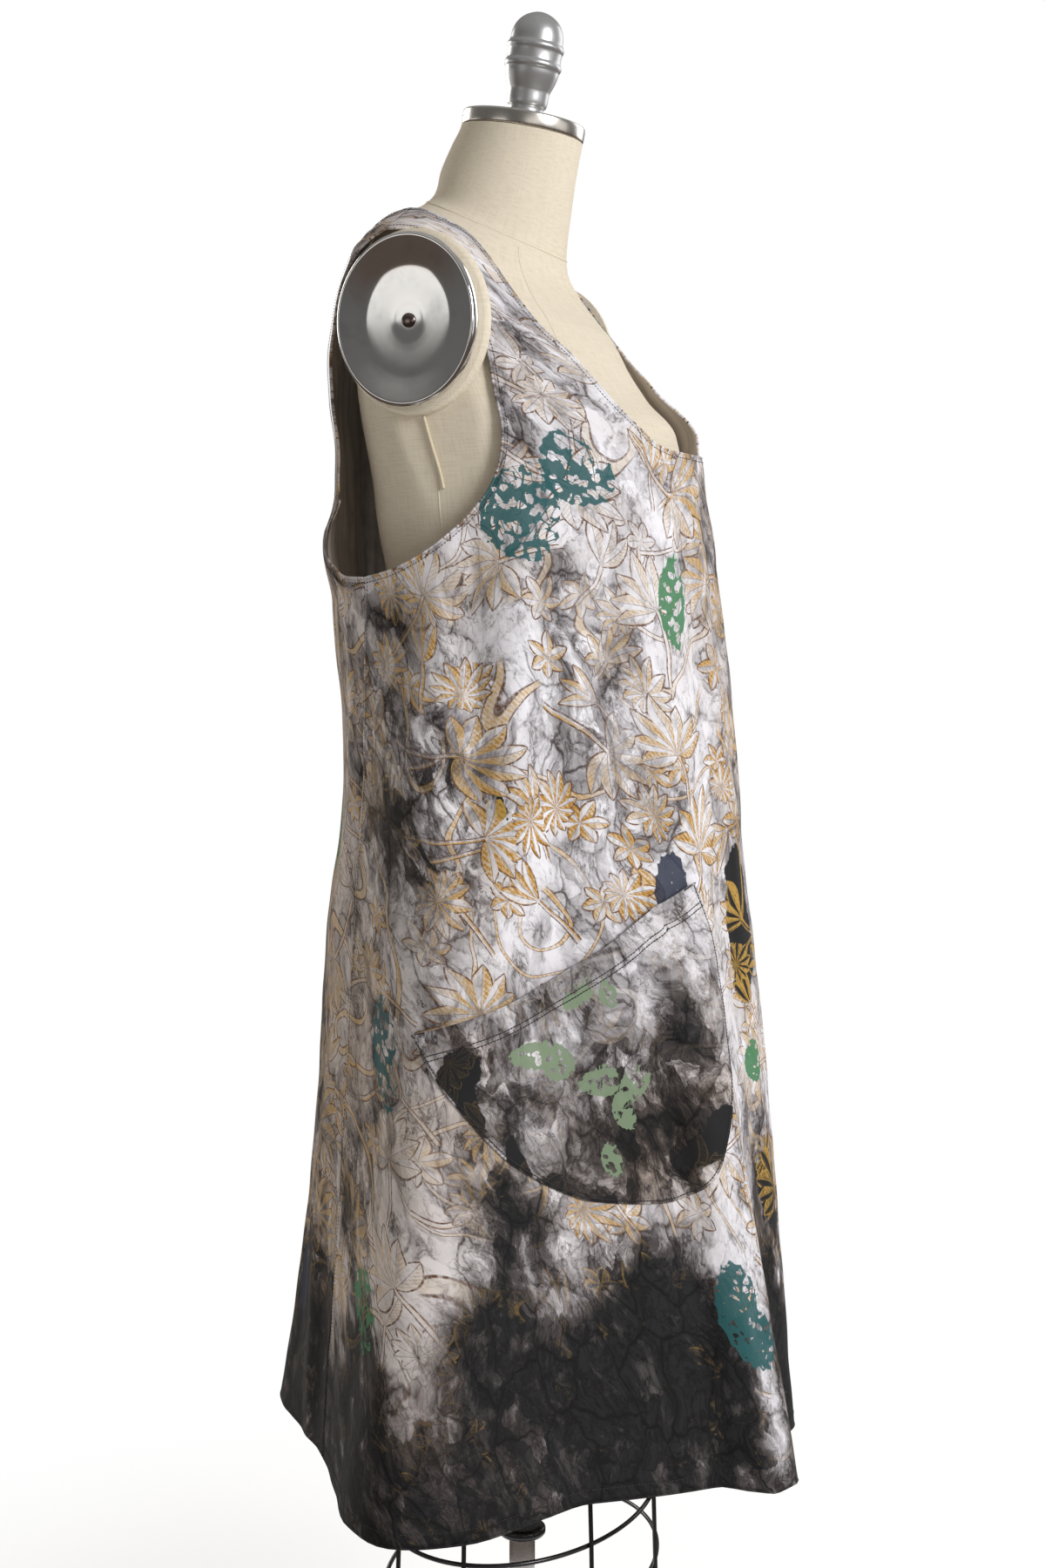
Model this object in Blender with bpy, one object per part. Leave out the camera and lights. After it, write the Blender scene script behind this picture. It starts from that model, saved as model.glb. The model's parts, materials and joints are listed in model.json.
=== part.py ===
"""Sleeveless A-line apron dress, worn by a limbless dress form on a pole.

Units are metres and +Z is up. The origin is the middle of the base's underside, on the
pole's axis. The wearer faces -Y, so the wearer's right side is at -X.

Angles round the body are in degrees: 0 is the front, +90 the wearer's right side and
180 the back. A place on the cloth or on the figure is given by such an angle and by the
height of the level section that it lies on.
"""

import math
from typing import NamedTuple

import bmesh
import bpy
from mathutils import Matrix, Vector
from mathutils.bvhtree import BVHTree

# ---------------------------------------------------------------------------
# Driving dimensions
# ---------------------------------------------------------------------------

FIT_GAP = 0.0003          # between pieces that touch
CLOTH_THICKNESS = 0.0018  # woven cotton with its turned edges
SEAM_HALF_GAP = 0.0002    # half of the gap between two sewn panels

HANG_HEIGHT = 1.20        # the cloth falls freely below this level
HEM_HEIGHT = 0.410        # mean height of the hem
SIDE_SEAM_ANGLE = 113.0
SIDE_SEAM_RADIUS = 0.19   # mean distance of the side seam from the axis
SHOULDER_SEAM_ANGLE = 92.0
SHOULDER_SEAM_RADIUS = 0.10

NECK_TILT = 9.8          # forward lean of the neck ring and the finial, degrees
NECK_RING_RADIUS = 0.0568
NECK_RING_HEIGHT = 0.0135
NECK_TOP = Vector((0.0, 0.0, 1.5975))

ARM_CUT_X = 0.160         # flat sides of the torso, where the arms would start
ARM_CENTRE_Y = 0.0365
ARM_CENTRE_Z = 1.4085
PLATE_HALF_WIDTH = 0.0650
PLATE_HALF_HEIGHT = 0.0745
CAP_MARGIN = 0.005        # linen cap shown round the plate
CAP_THICKNESS = 0.009

POLE_RADIUS = 0.0124
COLLAR_RADIUS = 0.0226
COLLAR_THICKNESS = 0.008
COLLAR_BOTTOM = 0.275
SUPPORT_RADIUS = 0.0185
TORSO_BOTTOM = 0.700

BASE_RADIUS = 0.200
BASE_THICKNESS = 0.016
SOCKET_RADIUS = 0.032
SOCKET_TOP_RADIUS = 0.020
SOCKET_HEIGHT = 0.034

SCREW_RADIUS = 0.0062     # holds an arm plate
SCREW_HEIGHT = 0.0024

WIRE_RADIUS = 0.0021
WIRE_ANGLES = (44.1, 86.3, 111.4, 208.0, 229.8, 269.4, 284.9, 349.5)


class Section(NamedTuple):
    """One section of a body that is the same left and right."""

    height: float
    half_width: float
    front: float          # depth ahead of the section's centre
    back: float           # depth behind it
    centre_y: float
    tilt: float           # degrees, front edge down
    front_square: float   # 2 is an ellipse, less is more pointed, more is boxier
    back_square: float


# The padded figure, from the bottom of the torso to the top of the neck.
FIGURE = (
    #       height  half_w  front   back    centre  tilt  front_sq back_sq
    Section(0.7000, 0.1500, 0.1020, 0.1100, 0.006, 0.0, 2.2, 2.2),
    Section(0.8500, 0.1760, 0.1150, 0.1220, 0.006, 0.0, 2.2, 2.2),
    Section(0.9800, 0.1560, 0.1080, 0.1080, 0.005, 0.0, 2.2, 2.2),
    Section(1.0800, 0.1330, 0.1050, 0.0980, 0.004, 0.0, 2.2, 2.2),
    Section(1.1800, 0.1480, 0.1290, 0.1100, 0.003, 0.0, 2.1, 2.2),
    Section(1.2600, 0.1620, 0.1600, 0.1200, 0.005, 0.0, 1.9, 2.2),
    Section(1.3200, 0.1670, 0.1590, 0.1170, 0.015, 0.0, 1.8, 2.3),
    Section(1.3650, 0.1690, 0.1450, 0.1050, 0.030, 4.0, 1.8, 2.4),
    Section(1.4100, 0.1690, 0.1350, 0.0940, 0.040, 9.0, 1.7, 2.4),
    Section(1.4450, 0.1660, 0.1300, 0.0867, 0.043, 16.0, 1.7, 2.3),
    Section(1.4720, 0.1560, 0.1160, 0.0797, 0.042, 22.0, 1.65, 2.2),
    Section(1.4920, 0.1370, 0.0930, 0.0730, 0.038, 25.0, 1.7, 2.1),
    Section(1.5060, 0.0930, 0.0780, 0.0630, 0.031, 27.0, 1.9, 2.0),
    Section(1.5200, 0.0710, 0.0703, 0.0610, 0.0245, 26.0, 2.0, 2.0),
    Section(1.5450, 0.0635, 0.0628, 0.0638, 0.0155, 20.0, 2.0, 2.0),
    Section(1.5750, 0.0580, 0.0575, 0.0611, 0.0060, 13.0, 2.0, 2.0),
    Section(1.5920, 0.0563, 0.0563, 0.0572, 0.0012, 10.3, 2.0, 2.0),
    Section(1.5972, 0.0563, 0.0563, 0.0563, 0.0000, 9.8, 2.0, 2.0),
)

# The outside of the cloth from the hang line up, over the bust and the shoulders.
YOKE = (
    #       height  half_w  front   back    centre  tilt  front_sq back_sq
    Section(1.1400, 0.1980, 0.1810, 0.1470, 0.000, 0.0, 1.9, 2.5),
    Section(1.2000, 0.1910, 0.1785, 0.1510, 0.000, 0.0, 1.8, 2.7),
    Section(1.2600, 0.1820, 0.1770, 0.1480, 0.005, 0.0, 1.8, 2.8),
    Section(1.3100, 0.1760, 0.1840, 0.1330, 0.020, 0.0, 1.9, 2.8),
    Section(1.3500, 0.1750, 0.1800, 0.1160, 0.040, 0.0, 1.9, 2.7),
    Section(1.4000, 0.1750, 0.1550, 0.0980, 0.054, 0.0, 1.95, 2.7),
    Section(1.4400, 0.1750, 0.1170, 0.0860, 0.058, 0.0, 2.1, 2.6),
    Section(1.4750, 0.1690, 0.0830, 0.0720, 0.060, 0.0, 2.4, 2.3),
    Section(1.4920, 0.1590, 0.0640, 0.0610, 0.060, 0.0, 2.4, 2.2),
    Section(1.5070, 0.1300, 0.0460, 0.0500, 0.060, 0.0, 2.3, 2.2),
    Section(1.5180, 0.1080, 0.0350, 0.0420, 0.060, 0.0, 2.2, 2.2),
    Section(1.5300, 0.0800, 0.0280, 0.0340, 0.060, 0.0, 2.2, 2.2),
)


class Swell(NamedTuple):
    """A soft local swelling of the cloth."""

    angle: float
    height: float
    angle_reach: float
    height_reach: float
    out: float


SWELLS = (
    #     angle   height a_reach h_reach out
    Swell(180.0, 1.020, 90.0, 0.170, -0.017),
    Swell(130.0, 1.218, 32.0, 0.052, 0.012),
    Swell(230.0, 1.218, 32.0, 0.052, 0.011),
    Swell(150.0, 0.760, 45.0, 0.250, 0.003),
    Swell(315.0, 1.400, 40.0, 0.110, 0.004),
    Swell(333.0, 1.336, 30.0, 0.036, 0.013),
)


class Fall(NamedTuple):
    """One line down the skirt, from the hang line to the hem."""

    angle: float          # at the hang line
    hem_angle: float
    hem_radius: float
    hem_height: float
    growth: float         # 1 falls straight, more stays in longer before it flares


# Right side first, front to back, then the wearer's left side back to front.
FALLS = (
    #    angle   hem_angle  radius  height  growth
    Fall(0.0, -3.0, 0.2630, 0.411, 0.90),
    Fall(8.0, 3.5, 0.2610, 0.411, 0.95),
    Fall(15.0, 8.5, 0.2660, 0.410, 1.00),
    Fall(22.0, 13.5, 0.2840, 0.408, 1.05),
    Fall(29.0, 18.6, 0.3100, 0.406, 1.05),
    Fall(34.0, 23.5, 0.3100, 0.406, 1.10),
    Fall(39.0, 27.0, 0.2960, 0.408, 1.10),
    Fall(43.0, 30.0, 0.2720, 0.409, 1.10),
    Fall(48.0, 37.0, 0.2660, 0.410, 1.10),
    Fall(54.0, 47.0, 0.2610, 0.411, 1.05),
    Fall(60.0, 56.0, 0.2590, 0.411, 1.00),
    Fall(67.0, 66.0, 0.2830, 0.410, 1.00),
    Fall(76.0, 77.0, 0.3320, 0.409, 1.00),
    Fall(84.0, 87.0, 0.3500, 0.408, 1.00),
    Fall(92.0, 95.5, 0.3240, 0.408, 1.00),
    Fall(100.0, 104.0, 0.2780, 0.409, 1.10),
    Fall(109.0, 114.0, 0.2430, 0.410, 1.30),
    Fall(120.0, 126.0, 0.2240, 0.411, 1.60),
    Fall(134.0, 139.0, 0.2190, 0.411, 1.80),
    Fall(148.0, 153.0, 0.2280, 0.410, 1.90),
    Fall(162.0, 165.0, 0.2340, 0.410, 1.90),
    Fall(180.0, 180.0, 0.2160, 0.411, 1.80),
    Fall(198.0, 196.0, 0.2330, 0.410, 1.90),
    Fall(212.0, 208.0, 0.2270, 0.410, 1.90),
    Fall(228.0, 223.0, 0.2180, 0.411, 1.80),
    Fall(240.0, 234.0, 0.2270, 0.411, 1.60),
    Fall(251.0, 246.0, 0.2460, 0.410, 1.30),
    Fall(260.0, 256.0, 0.2820, 0.409, 1.10),
    Fall(269.0, 266.0, 0.3260, 0.408, 1.00),
    Fall(277.0, 275.0, 0.3440, 0.408, 1.00),
    Fall(285.0, 285.0, 0.3200, 0.409, 1.00),
    Fall(294.0, 295.0, 0.2800, 0.410, 1.00),
    Fall(303.0, 306.0, 0.2600, 0.411, 1.00),
    Fall(314.0, 317.0, 0.2620, 0.411, 1.00),
    Fall(326.0, 329.0, 0.2550, 0.410, 0.90),
    Fall(338.0, 341.0, 0.2520, 0.410, 0.86),
    Fall(349.0, 350.0, 0.2565, 0.411, 0.86),
)


class Place(NamedTuple):
    """A point on the cloth."""

    angle: float
    height: float


# Edge of the front from the side seam up the armhole to the shoulder.
FRONT_ARMHOLE = (
    Place(113.0, 1.1890),
    Place(105.5, 1.1945),
    Place(98.5, 1.2040),
    Place(91.0, 1.2190),
    Place(82.5, 1.2420),
    Place(75.0, 1.2700),
    Place(68.8, 1.3060),
    Place(64.8, 1.3450),
    Place(63.0, 1.3850),
    Place(65.0, 1.4100),
    Place(68.4, 1.4370),
    Place(75.7, 1.4750),
    Place(84.0, 1.4890),
    Place(92.0, 1.4910),
)
FRONT_ARMHOLE_CORNER = 5  # the row where the strap starts

BACK_ARMHOLE = (
    Place(113.0, 1.1890),
    Place(120.0, 1.1900),
    Place(127.5, 1.1980),
    Place(131.5, 1.2150),
    Place(131.5, 1.2400),
    Place(129.0, 1.2780),
    Place(124.5, 1.3320),
    Place(121.0, 1.3710),
    Place(118.5, 1.4000),
    Place(113.0, 1.4380),
    Place(103.0, 1.4720),
    Place(92.0, 1.4910),
)
BACK_ARMHOLE_CORNER = 5

FRONT_NECKLINE = (
    Place(0.0, 1.3000),
    Place(12.0, 1.3010),
    Place(21.0, 1.3065),
    Place(25.5, 1.3250),
    Place(29.5, 1.3470),
    Place(37.0, 1.3860),
    Place(44.5, 1.4090),
    Place(53.0, 1.4490),
    Place(64.0, 1.4900),
    Place(76.0, 1.5060),
    Place(87.0, 1.5140),
    Place(92.0, 1.5160),
)
FRONT_NECKLINE_CORNER = 2

BACK_NECKLINE = (
    Place(180.0, 1.4300),
    Place(166.0, 1.4330),
    Place(152.0, 1.4440),
    Place(136.0, 1.4680),
    Place(114.0, 1.5010),
    Place(92.0, 1.5160),
)
BACK_NECKLINE_CORNER = 2

# Patch pocket on the right front: its open top edge and its sewn outline.
POCKET_TOP = (
    Place(87.2, 0.8090),
    Place(76.4, 0.8260),
    Place(65.5, 0.8480),
    Place(54.8, 0.8710),
    Place(43.7, 0.9020),
    Place(30.0, 0.9285),
)
POCKET_OUTLINE = (
    Place(87.2, 0.8090),
    Place(78.7, 0.7510),
    Place(69.4, 0.6970),
    Place(58.0, 0.6630),
    Place(46.5, 0.6560),
    Place(38.5, 0.6700),
    Place(32.2, 0.7070),
    Place(26.4, 0.7800),
    Place(25.2, 0.8560),
    Place(30.0, 0.9285),
)
POCKET_LIFT = 0.0017      # clear of the front panel
POCKET_GAPE = 0.006       # extra lift of the open edge
PROBE_DISTANCE = 0.02     # how far out the search for the front panel starts

# The wire skirt frame under the torso, level by level.
CAGE = (
    #       height  half_w  front   back    centre  tilt  front_sq back_sq
    Section(0.7000, 0.1440, 0.0960, 0.1040, 0.006, 0.0, 2.2, 2.2),
    Section(0.6000, 0.1560, 0.1050, 0.1100, 0.002, 0.0, 2.1, 2.1),
    Section(0.4600, 0.1680, 0.1140, 0.1150, -0.001, 0.0, 2.0, 2.0),
    Section(0.3190, 0.1760, 0.1200, 0.1200, -0.002, 0.0, 2.0, 2.0),
    Section(0.2500, 0.1790, 0.1220, 0.1220, -0.002, 0.0, 2.0, 2.0),
)


class Turn(NamedTuple):
    """One station of a turned profile."""

    height: float
    radius: float


FINIAL = (
    Turn(0.0000, 0.0176),
    Turn(0.0030, 0.0178),
    Turn(0.0052, 0.0165),
    Turn(0.0085, 0.0155),
    Turn(0.0112, 0.0162),
    Turn(0.0126, 0.0186),
    Turn(0.0238, 0.0188),
    Turn(0.0258, 0.0192),
    Turn(0.0330, 0.0222),
    Turn(0.0400, 0.0243),
    Turn(0.0440, 0.0246),
    Turn(0.0455, 0.0258),
    Turn(0.0478, 0.0266),
    Turn(0.0502, 0.0258),
    Turn(0.0515, 0.0247),
    Turn(0.0602, 0.0248),
    Turn(0.0616, 0.0258),
    Turn(0.0640, 0.0266),
    Turn(0.0664, 0.0257),
    Turn(0.0678, 0.0244),
    Turn(0.0760, 0.0240),
    Turn(0.0840, 0.0212),
    Turn(0.0905, 0.0155),
    Turn(0.0945, 0.0080),
)
FINIAL_HEIGHT = 0.0960

# The dished arm plate: distance out from the cap, and share of the plate's outline.
PLATE_PROFILE = (
    Turn(0.0000, 0.930),
    Turn(0.0040, 0.985),
    Turn(0.0085, 1.000),
    Turn(0.0135, 0.975),
    Turn(0.0165, 0.905),
    Turn(0.0160, 0.820),
    Turn(0.0125, 0.700),
    Turn(0.0085, 0.520),
    Turn(0.0065, 0.300),
    Turn(0.0060, 0.110),
)

# The tacked cord that runs down the linen from the right arm plate.
CORD_RADIUS = 0.0012
CORD_PLACES = (
    Place(94.0, 1.3280),
    Place(93.8, 1.3150),
    Place(93.4, 1.3020),
    Place(92.8, 1.2890),
    Place(92.2, 1.2770),
    Place(91.8, 1.2660),
)


# ---------------------------------------------------------------------------
# Curves and surfaces
# ---------------------------------------------------------------------------

def smooth_value(keys, values, at):
    """Read a smooth curve through (key, value) pairs that never overshoots them."""
    if at <= keys[0]:
        return values[0]
    if at >= keys[-1]:
        return values[-1]
    index = next(i for i in range(1, len(keys)) if at <= keys[i]) - 1
    slopes = [(values[i + 1] - values[i]) / (keys[i + 1] - keys[i]) for i in range(len(keys) - 1)]

    def tangent(row):
        if row in (0, len(keys) - 1):
            return slopes[min(row, len(slopes) - 1)]
        before = slopes[row - 1]
        after = slopes[row]
        if before * after <= 0.0:
            return 0.0
        return 2.0 * before * after / (before + after)

    span = keys[index + 1] - keys[index]
    t = (at - keys[index]) / span
    start_tangent = tangent(index) * span
    end_tangent = tangent(index + 1) * span
    return (
        (2 * t**3 - 3 * t**2 + 1) * values[index]
        + (t**3 - 2 * t**2 + t) * start_tangent
        + (3 * t**2 - 2 * t**3) * values[index + 1]
        + (t**3 - t**2) * end_tangent
    )


def section_at(rows, height):
    """Return the Section at a height between the rows of a table."""
    rows = sorted(rows, key=lambda row: row.height)
    keys = [row.height for row in rows]
    return Section(*(smooth_value(keys, column, height) for column in zip(*rows)))


def section_point(section, angle):
    """Return the point of a section at an angle round it."""
    turn = math.radians(angle)
    ahead = math.cos(turn) >= 0.0
    depth = section.front if ahead else section.back
    power = section.front_square if ahead else section.back_square
    across = abs(math.sin(turn)) / section.half_width
    along = abs(math.cos(turn)) / depth
    radius = (across**power + along**power) ** (-1.0 / power)
    back = -radius * math.cos(turn)
    tilt = math.radians(section.tilt)
    return Vector((
        -radius * math.sin(turn),
        section.centre_y + back * math.cos(tilt),
        section.height + back * math.sin(tilt),
    ))


def figure_point(angle, height):
    """Return a point on the padded figure, with its two flat arm cuts."""
    point = section_point(section_at(FIGURE, height), angle)
    point.x = max(-ARM_CUT_X, min(ARM_CUT_X, point.x))
    return point


def fall_at(angle):
    """Return the Fall at any angle round the skirt."""
    angle %= 360.0
    wrapped = [
        row._replace(angle=row.angle + turn, hem_angle=row.hem_angle + turn)
        for turn in (-360.0, 0.0, 360.0)
        for row in FALLS
    ]
    keys = [row.angle for row in wrapped]
    return Fall(*(smooth_value(keys, column, angle) for column in zip(*wrapped)))


def swelling(angle, height):
    """Return how far the cloth swells outwards at a place."""
    out = 0.0
    for row in SWELLS:
        across = ((angle - row.angle + 180.0) % 360.0 - 180.0) / row.angle_reach
        along = (height - row.height) / row.height_reach
        apart = across * across + along * along
        if apart < 1.0:
            out += row.out * (1.0 - apart) ** 2
    return out


def cloth_point(angle, height):
    """Return a point on the outside of the dress."""
    turn = math.radians(angle)
    out = swelling(angle, height)
    return bare_cloth_point(angle, height) + Vector((-math.sin(turn), -math.cos(turn), 0.0)) * out


def bare_cloth_point(angle, height):
    """Return a point on the outside of the dress before its local swellings."""
    if height >= HANG_HEIGHT:
        return section_point(section_at(YOKE, height), angle)
    hang = section_point(section_at(YOKE, HANG_HEIGHT), angle)
    fall = fall_at(angle)
    drop = (HANG_HEIGHT - height) / (HANG_HEIGHT - HEM_HEIGHT)
    flare = drop**fall.growth
    radius = math.hypot(hang.x, hang.y)
    radius += (fall.hem_radius - radius) * flare
    turn = math.radians(fall.angle + (fall.hem_angle - fall.angle) * drop)
    level = HANG_HEIGHT + (fall.hem_height - HANG_HEIGHT) * drop
    return Vector((-radius * math.sin(turn), -radius * math.cos(turn), level))


def surface_normal(surface, angle, height):
    """Return the outward normal of a surface given as a function of angle and height."""
    step_angle = 0.6
    step_height = 0.0015
    round_body = surface(angle - step_angle, height) - surface(angle + step_angle, height)
    up_body = surface(angle, height + step_height) - surface(angle, height - step_height)
    return round_body.cross(up_body).normalized()


def curve_place(rows, position):
    """Return the Place at a position along a table, counted in rows."""
    keys = list(range(len(rows)))
    return Place(*(smooth_value(keys, column, position) for column in zip(*rows)))


def spaced_places(rows, start, end, count, surface):
    """Return count + 1 places, evenly spaced on a surface, between two rows of a table."""
    fine = 24 * count
    places = [curve_place(rows, start + (end - start) * i / fine) for i in range(fine + 1)]
    points = [surface(*place) for place in places]
    run = [0.0]
    for i in range(fine):
        run.append(run[-1] + (points[i + 1] - points[i]).length)
    picked = []
    for i in range(count + 1):
        target = run[-1] * i / count
        nearest = min(range(fine + 1), key=lambda k: abs(run[k] - target))
        picked.append(places[nearest])
    return picked


def mix_places(first, second, share):
    """Return the place a share of the way from one place to another."""
    return Place(*(a + (b - a) * share for a, b in zip(first, second)))


# ---------------------------------------------------------------------------
# Mesh helpers
# ---------------------------------------------------------------------------

def make_material(name, colour, roughness, metallic=0.0):
    """Return a Principled BSDF material."""
    material = bpy.data.materials.new(name)
    material.use_nodes = True
    shader = material.node_tree.nodes["Principled BSDF"]
    shader.inputs["Base Color"].default_value = (*colour, 1.0)
    shader.inputs["Roughness"].default_value = roughness
    shader.inputs["Metallic"].default_value = metallic
    material.diffuse_color = (*colour, 1.0)
    return material


def add_mesh(name, points, faces, material, flat_angle=40.0):
    """Add a closed mesh object, with its faces turned outwards."""
    mesh = bpy.data.meshes.new(name)
    mesh.from_pydata([tuple(point) for point in points], [], faces)
    work = bmesh.new()
    work.from_mesh(mesh)
    bmesh.ops.remove_doubles(work, verts=work.verts, dist=1e-6)
    bmesh.ops.recalc_face_normals(work, faces=work.faces)
    work.to_mesh(mesh)
    work.free()
    mesh.materials.append(material)
    mesh.shade_smooth()
    mesh.set_sharp_from_angle(angle=math.radians(flat_angle))
    piece = bpy.data.objects.new(name, mesh)
    bpy.context.scene.collection.objects.link(piece)
    return piece


def add_wall(name, points, normals, faces, lifts, thickness, material):
    """Add a cloth wall of a thickness whose inside stands off points by their lifts."""
    inner = [point + normal * lift for point, normal, lift in zip(points, normals, lifts)]
    outer = [point + normal * thickness for point, normal in zip(inner, normals)]
    count = len(points)
    shell = list(faces)
    shell += [tuple(count + corner for corner in reversed(face)) for face in faces]
    edge_uses = {}
    for face in faces:
        for a, b in zip(face, face[1:] + face[:1]):
            edge_uses[(a, b)] = edge_uses.get((a, b), 0) + 1
    for a, b in edge_uses:
        if (b, a) not in edge_uses:
            shell.append((b, a, count + a, count + b))
    return add_mesh(name, outer + inner, shell, material)


def grid_faces(first, columns, rows):
    """Return the quads of a grid of columns x rows cells that starts at vertex first."""
    faces = []
    for i in range(columns):
        for j in range(rows):
            corner = first + i * (rows + 1) + j
            faces.append((corner, corner + 1, corner + rows + 2, corner + rows + 1))
    return faces


def add_loft(name, rings, material, flat_angle=40.0):
    """Add a solid lofted through rings of points, closed by a flat face at each end."""
    sides = len(rings[0])
    points = [point for ring in rings for point in ring]
    faces = []
    for level in range(len(rings) - 1):
        for i in range(sides):
            j = (i + 1) % sides
            low = level * sides
            high = low + sides
            faces.append((low + i, low + j, high + j, high + i))
    faces.append(tuple(reversed(range(sides))))
    faces.append(tuple(range((len(rings) - 1) * sides, len(rings) * sides)))
    return add_mesh(name, points, faces, material, flat_angle)


def circle(radius, height, sides):
    """Return a level ring of points about the Z axis."""
    turns = [2.0 * math.pi * i / sides for i in range(sides)]
    return [Vector((radius * math.cos(t), radius * math.sin(t), height)) for t in turns]


def add_turned(name, stations, sides, material, place=Matrix()):
    """Add a solid turned about the Z axis through stations, then placed by a matrix."""
    rings = [
        [place @ point for point in circle(station.radius, station.height, sides)]
        for station in stations
    ]
    return add_loft(name, rings, material)


def add_tube(name, points, radius, material, closed=False, resolution=2):
    """Add a round wire along a chain of points."""
    curve = bpy.data.curves.new(name, "CURVE")
    curve.dimensions = "3D"
    curve.bevel_depth = radius
    curve.bevel_resolution = resolution
    curve.use_fill_caps = True
    curve.twist_mode = "Z_UP" if closed else "MINIMUM"
    spline = curve.splines.new("POLY")
    spline.points.add(len(points) - 1)
    for slot, point in zip(spline.points, points):
        slot.co = (*point, 1.0)
    spline.use_cyclic_u = closed
    curve.materials.append(material)
    wire = bpy.data.objects.new(name, curve)
    bpy.context.scene.collection.objects.link(wire)
    return wire


# ---------------------------------------------------------------------------
# The dress
# ---------------------------------------------------------------------------

FLANK_COLUMNS = 8         # under the armhole
STRAP_COLUMNS = 6         # between the armhole and the neckline
NECK_COLUMNS = 6          # from the neckline's corner to the middle
SKIRT_ROWS = 15
STRAP_ROWS = 9
NECK_DRIFT = 1.6          # how soon a column swings from its top angle to its fall


def half_panel_tops(armhole, armhole_corner, neckline, neckline_corner):
    """Return the top place of each column of half a panel, side seam to middle."""
    flank = spaced_places(armhole, 0, armhole_corner, FLANK_COLUMNS, cloth_point)
    neck = spaced_places(neckline, neckline_corner, 0, NECK_COLUMNS, cloth_point)
    bridge = [mix_places(flank[-1], neck[0], i / STRAP_COLUMNS) for i in range(STRAP_COLUMNS + 1)]
    return flank[:-1] + bridge + neck[1:]


def strap_places(armhole, armhole_corner, neckline, neckline_corner, seam_angle):
    """Return the grid of places of a strap, from its root row to the shoulder seam."""
    outer = spaced_places(armhole, armhole_corner, len(armhole) - 1, STRAP_ROWS, cloth_point)
    inner = spaced_places(neckline, neckline_corner, len(neckline) - 1, STRAP_ROWS, cloth_point)
    outer[-1] = outer[-1]._replace(angle=seam_angle)
    inner[-1] = inner[-1]._replace(angle=seam_angle)
    return [
        [mix_places(low, high, i / STRAP_COLUMNS) for low, high in zip(outer, inner)]
        for i in range(STRAP_COLUMNS + 1)
    ]


def seam_shift(radius):
    """Return the angle, in degrees, that keeps half a seam's gap at a radius."""
    return math.degrees(SEAM_HALF_GAP / radius)


def add_panel(name, armhole, armhole_corner, neckline, neckline_corner, middle, material):
    """Add the front or the back: a skirt grid with a strap grid on each side.

    middle is 0 for the front and 180 for the back.
    """
    to_middle = -1.0 if middle == 0.0 else 1.0
    side_angle = SIDE_SEAM_ANGLE + to_middle * seam_shift(SIDE_SEAM_RADIUS)
    shoulder_angle = SHOULDER_SEAM_ANGLE + to_middle * seam_shift(SHOULDER_SEAM_RADIUS)
    tops = half_panel_tops(armhole, armhole_corner, neckline, neckline_corner)
    tops[0] = tops[0]._replace(angle=side_angle)
    columns = tops + [mirrored(place, middle) for place in reversed(tops[:-1])]
    last = len(columns) - 1

    places = []
    for index, top in enumerate(columns):
        foot_angle = skirt_angle(index / last, side_angle, middle)
        for row in range(SKIRT_ROWS + 1):
            share = row / SKIRT_ROWS
            swing = 1.0 - (1.0 - share) ** NECK_DRIFT
            places.append(Place(
                top.angle + (foot_angle - top.angle) * swing,
                top.height + (HEM_HEIGHT - top.height) * share,
            ))
    faces = grid_faces(0, last, SKIRT_ROWS)

    strap = strap_places(armhole, armhole_corner, neckline, neckline_corner, shoulder_angle)
    for side in (1, -1):
        first = len(places)
        for grid_column in strap:
            column = grid_column if side == 1 else [mirrored(p, middle) for p in grid_column]
            places.extend(reversed(column))
        strap_faces = grid_faces(first, STRAP_COLUMNS, STRAP_ROWS)
        if side == -1:
            strap_faces = [tuple(reversed(face)) for face in strap_faces]
        weld = {}
        for i in range(STRAP_COLUMNS + 1):
            column_index = FLANK_COLUMNS + i
            if side == -1:
                column_index = last - column_index
            root = first + i * (STRAP_ROWS + 1) + STRAP_ROWS
            weld[root] = column_index * (SKIRT_ROWS + 1)
        faces += [tuple(weld.get(corner, corner) for corner in face) for face in strap_faces]

    used = sorted({corner for face in faces for corner in face})
    renumber = {old: new for new, old in enumerate(used)}
    places = [places[old] for old in used]
    faces = [tuple(renumber[corner] for corner in face) for face in faces]
    points = [cloth_point(*place) for place in places]
    normals = [surface_normal(cloth_point, *place) for place in places]
    lifts = [-CLOTH_THICKNESS] * len(places)
    return add_wall(name, points, normals, faces, lifts, CLOTH_THICKNESS, material)


def mirrored(place, middle):
    """Return the same place on the other side of a panel's middle line."""
    return place._replace(angle=2.0 * middle - place.angle)


def skirt_angle(share, side_angle, middle):
    """Return the angle of a column at the hem, a share of the way across its panel."""
    return side_angle + (2.0 * (middle - side_angle)) * share


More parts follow.
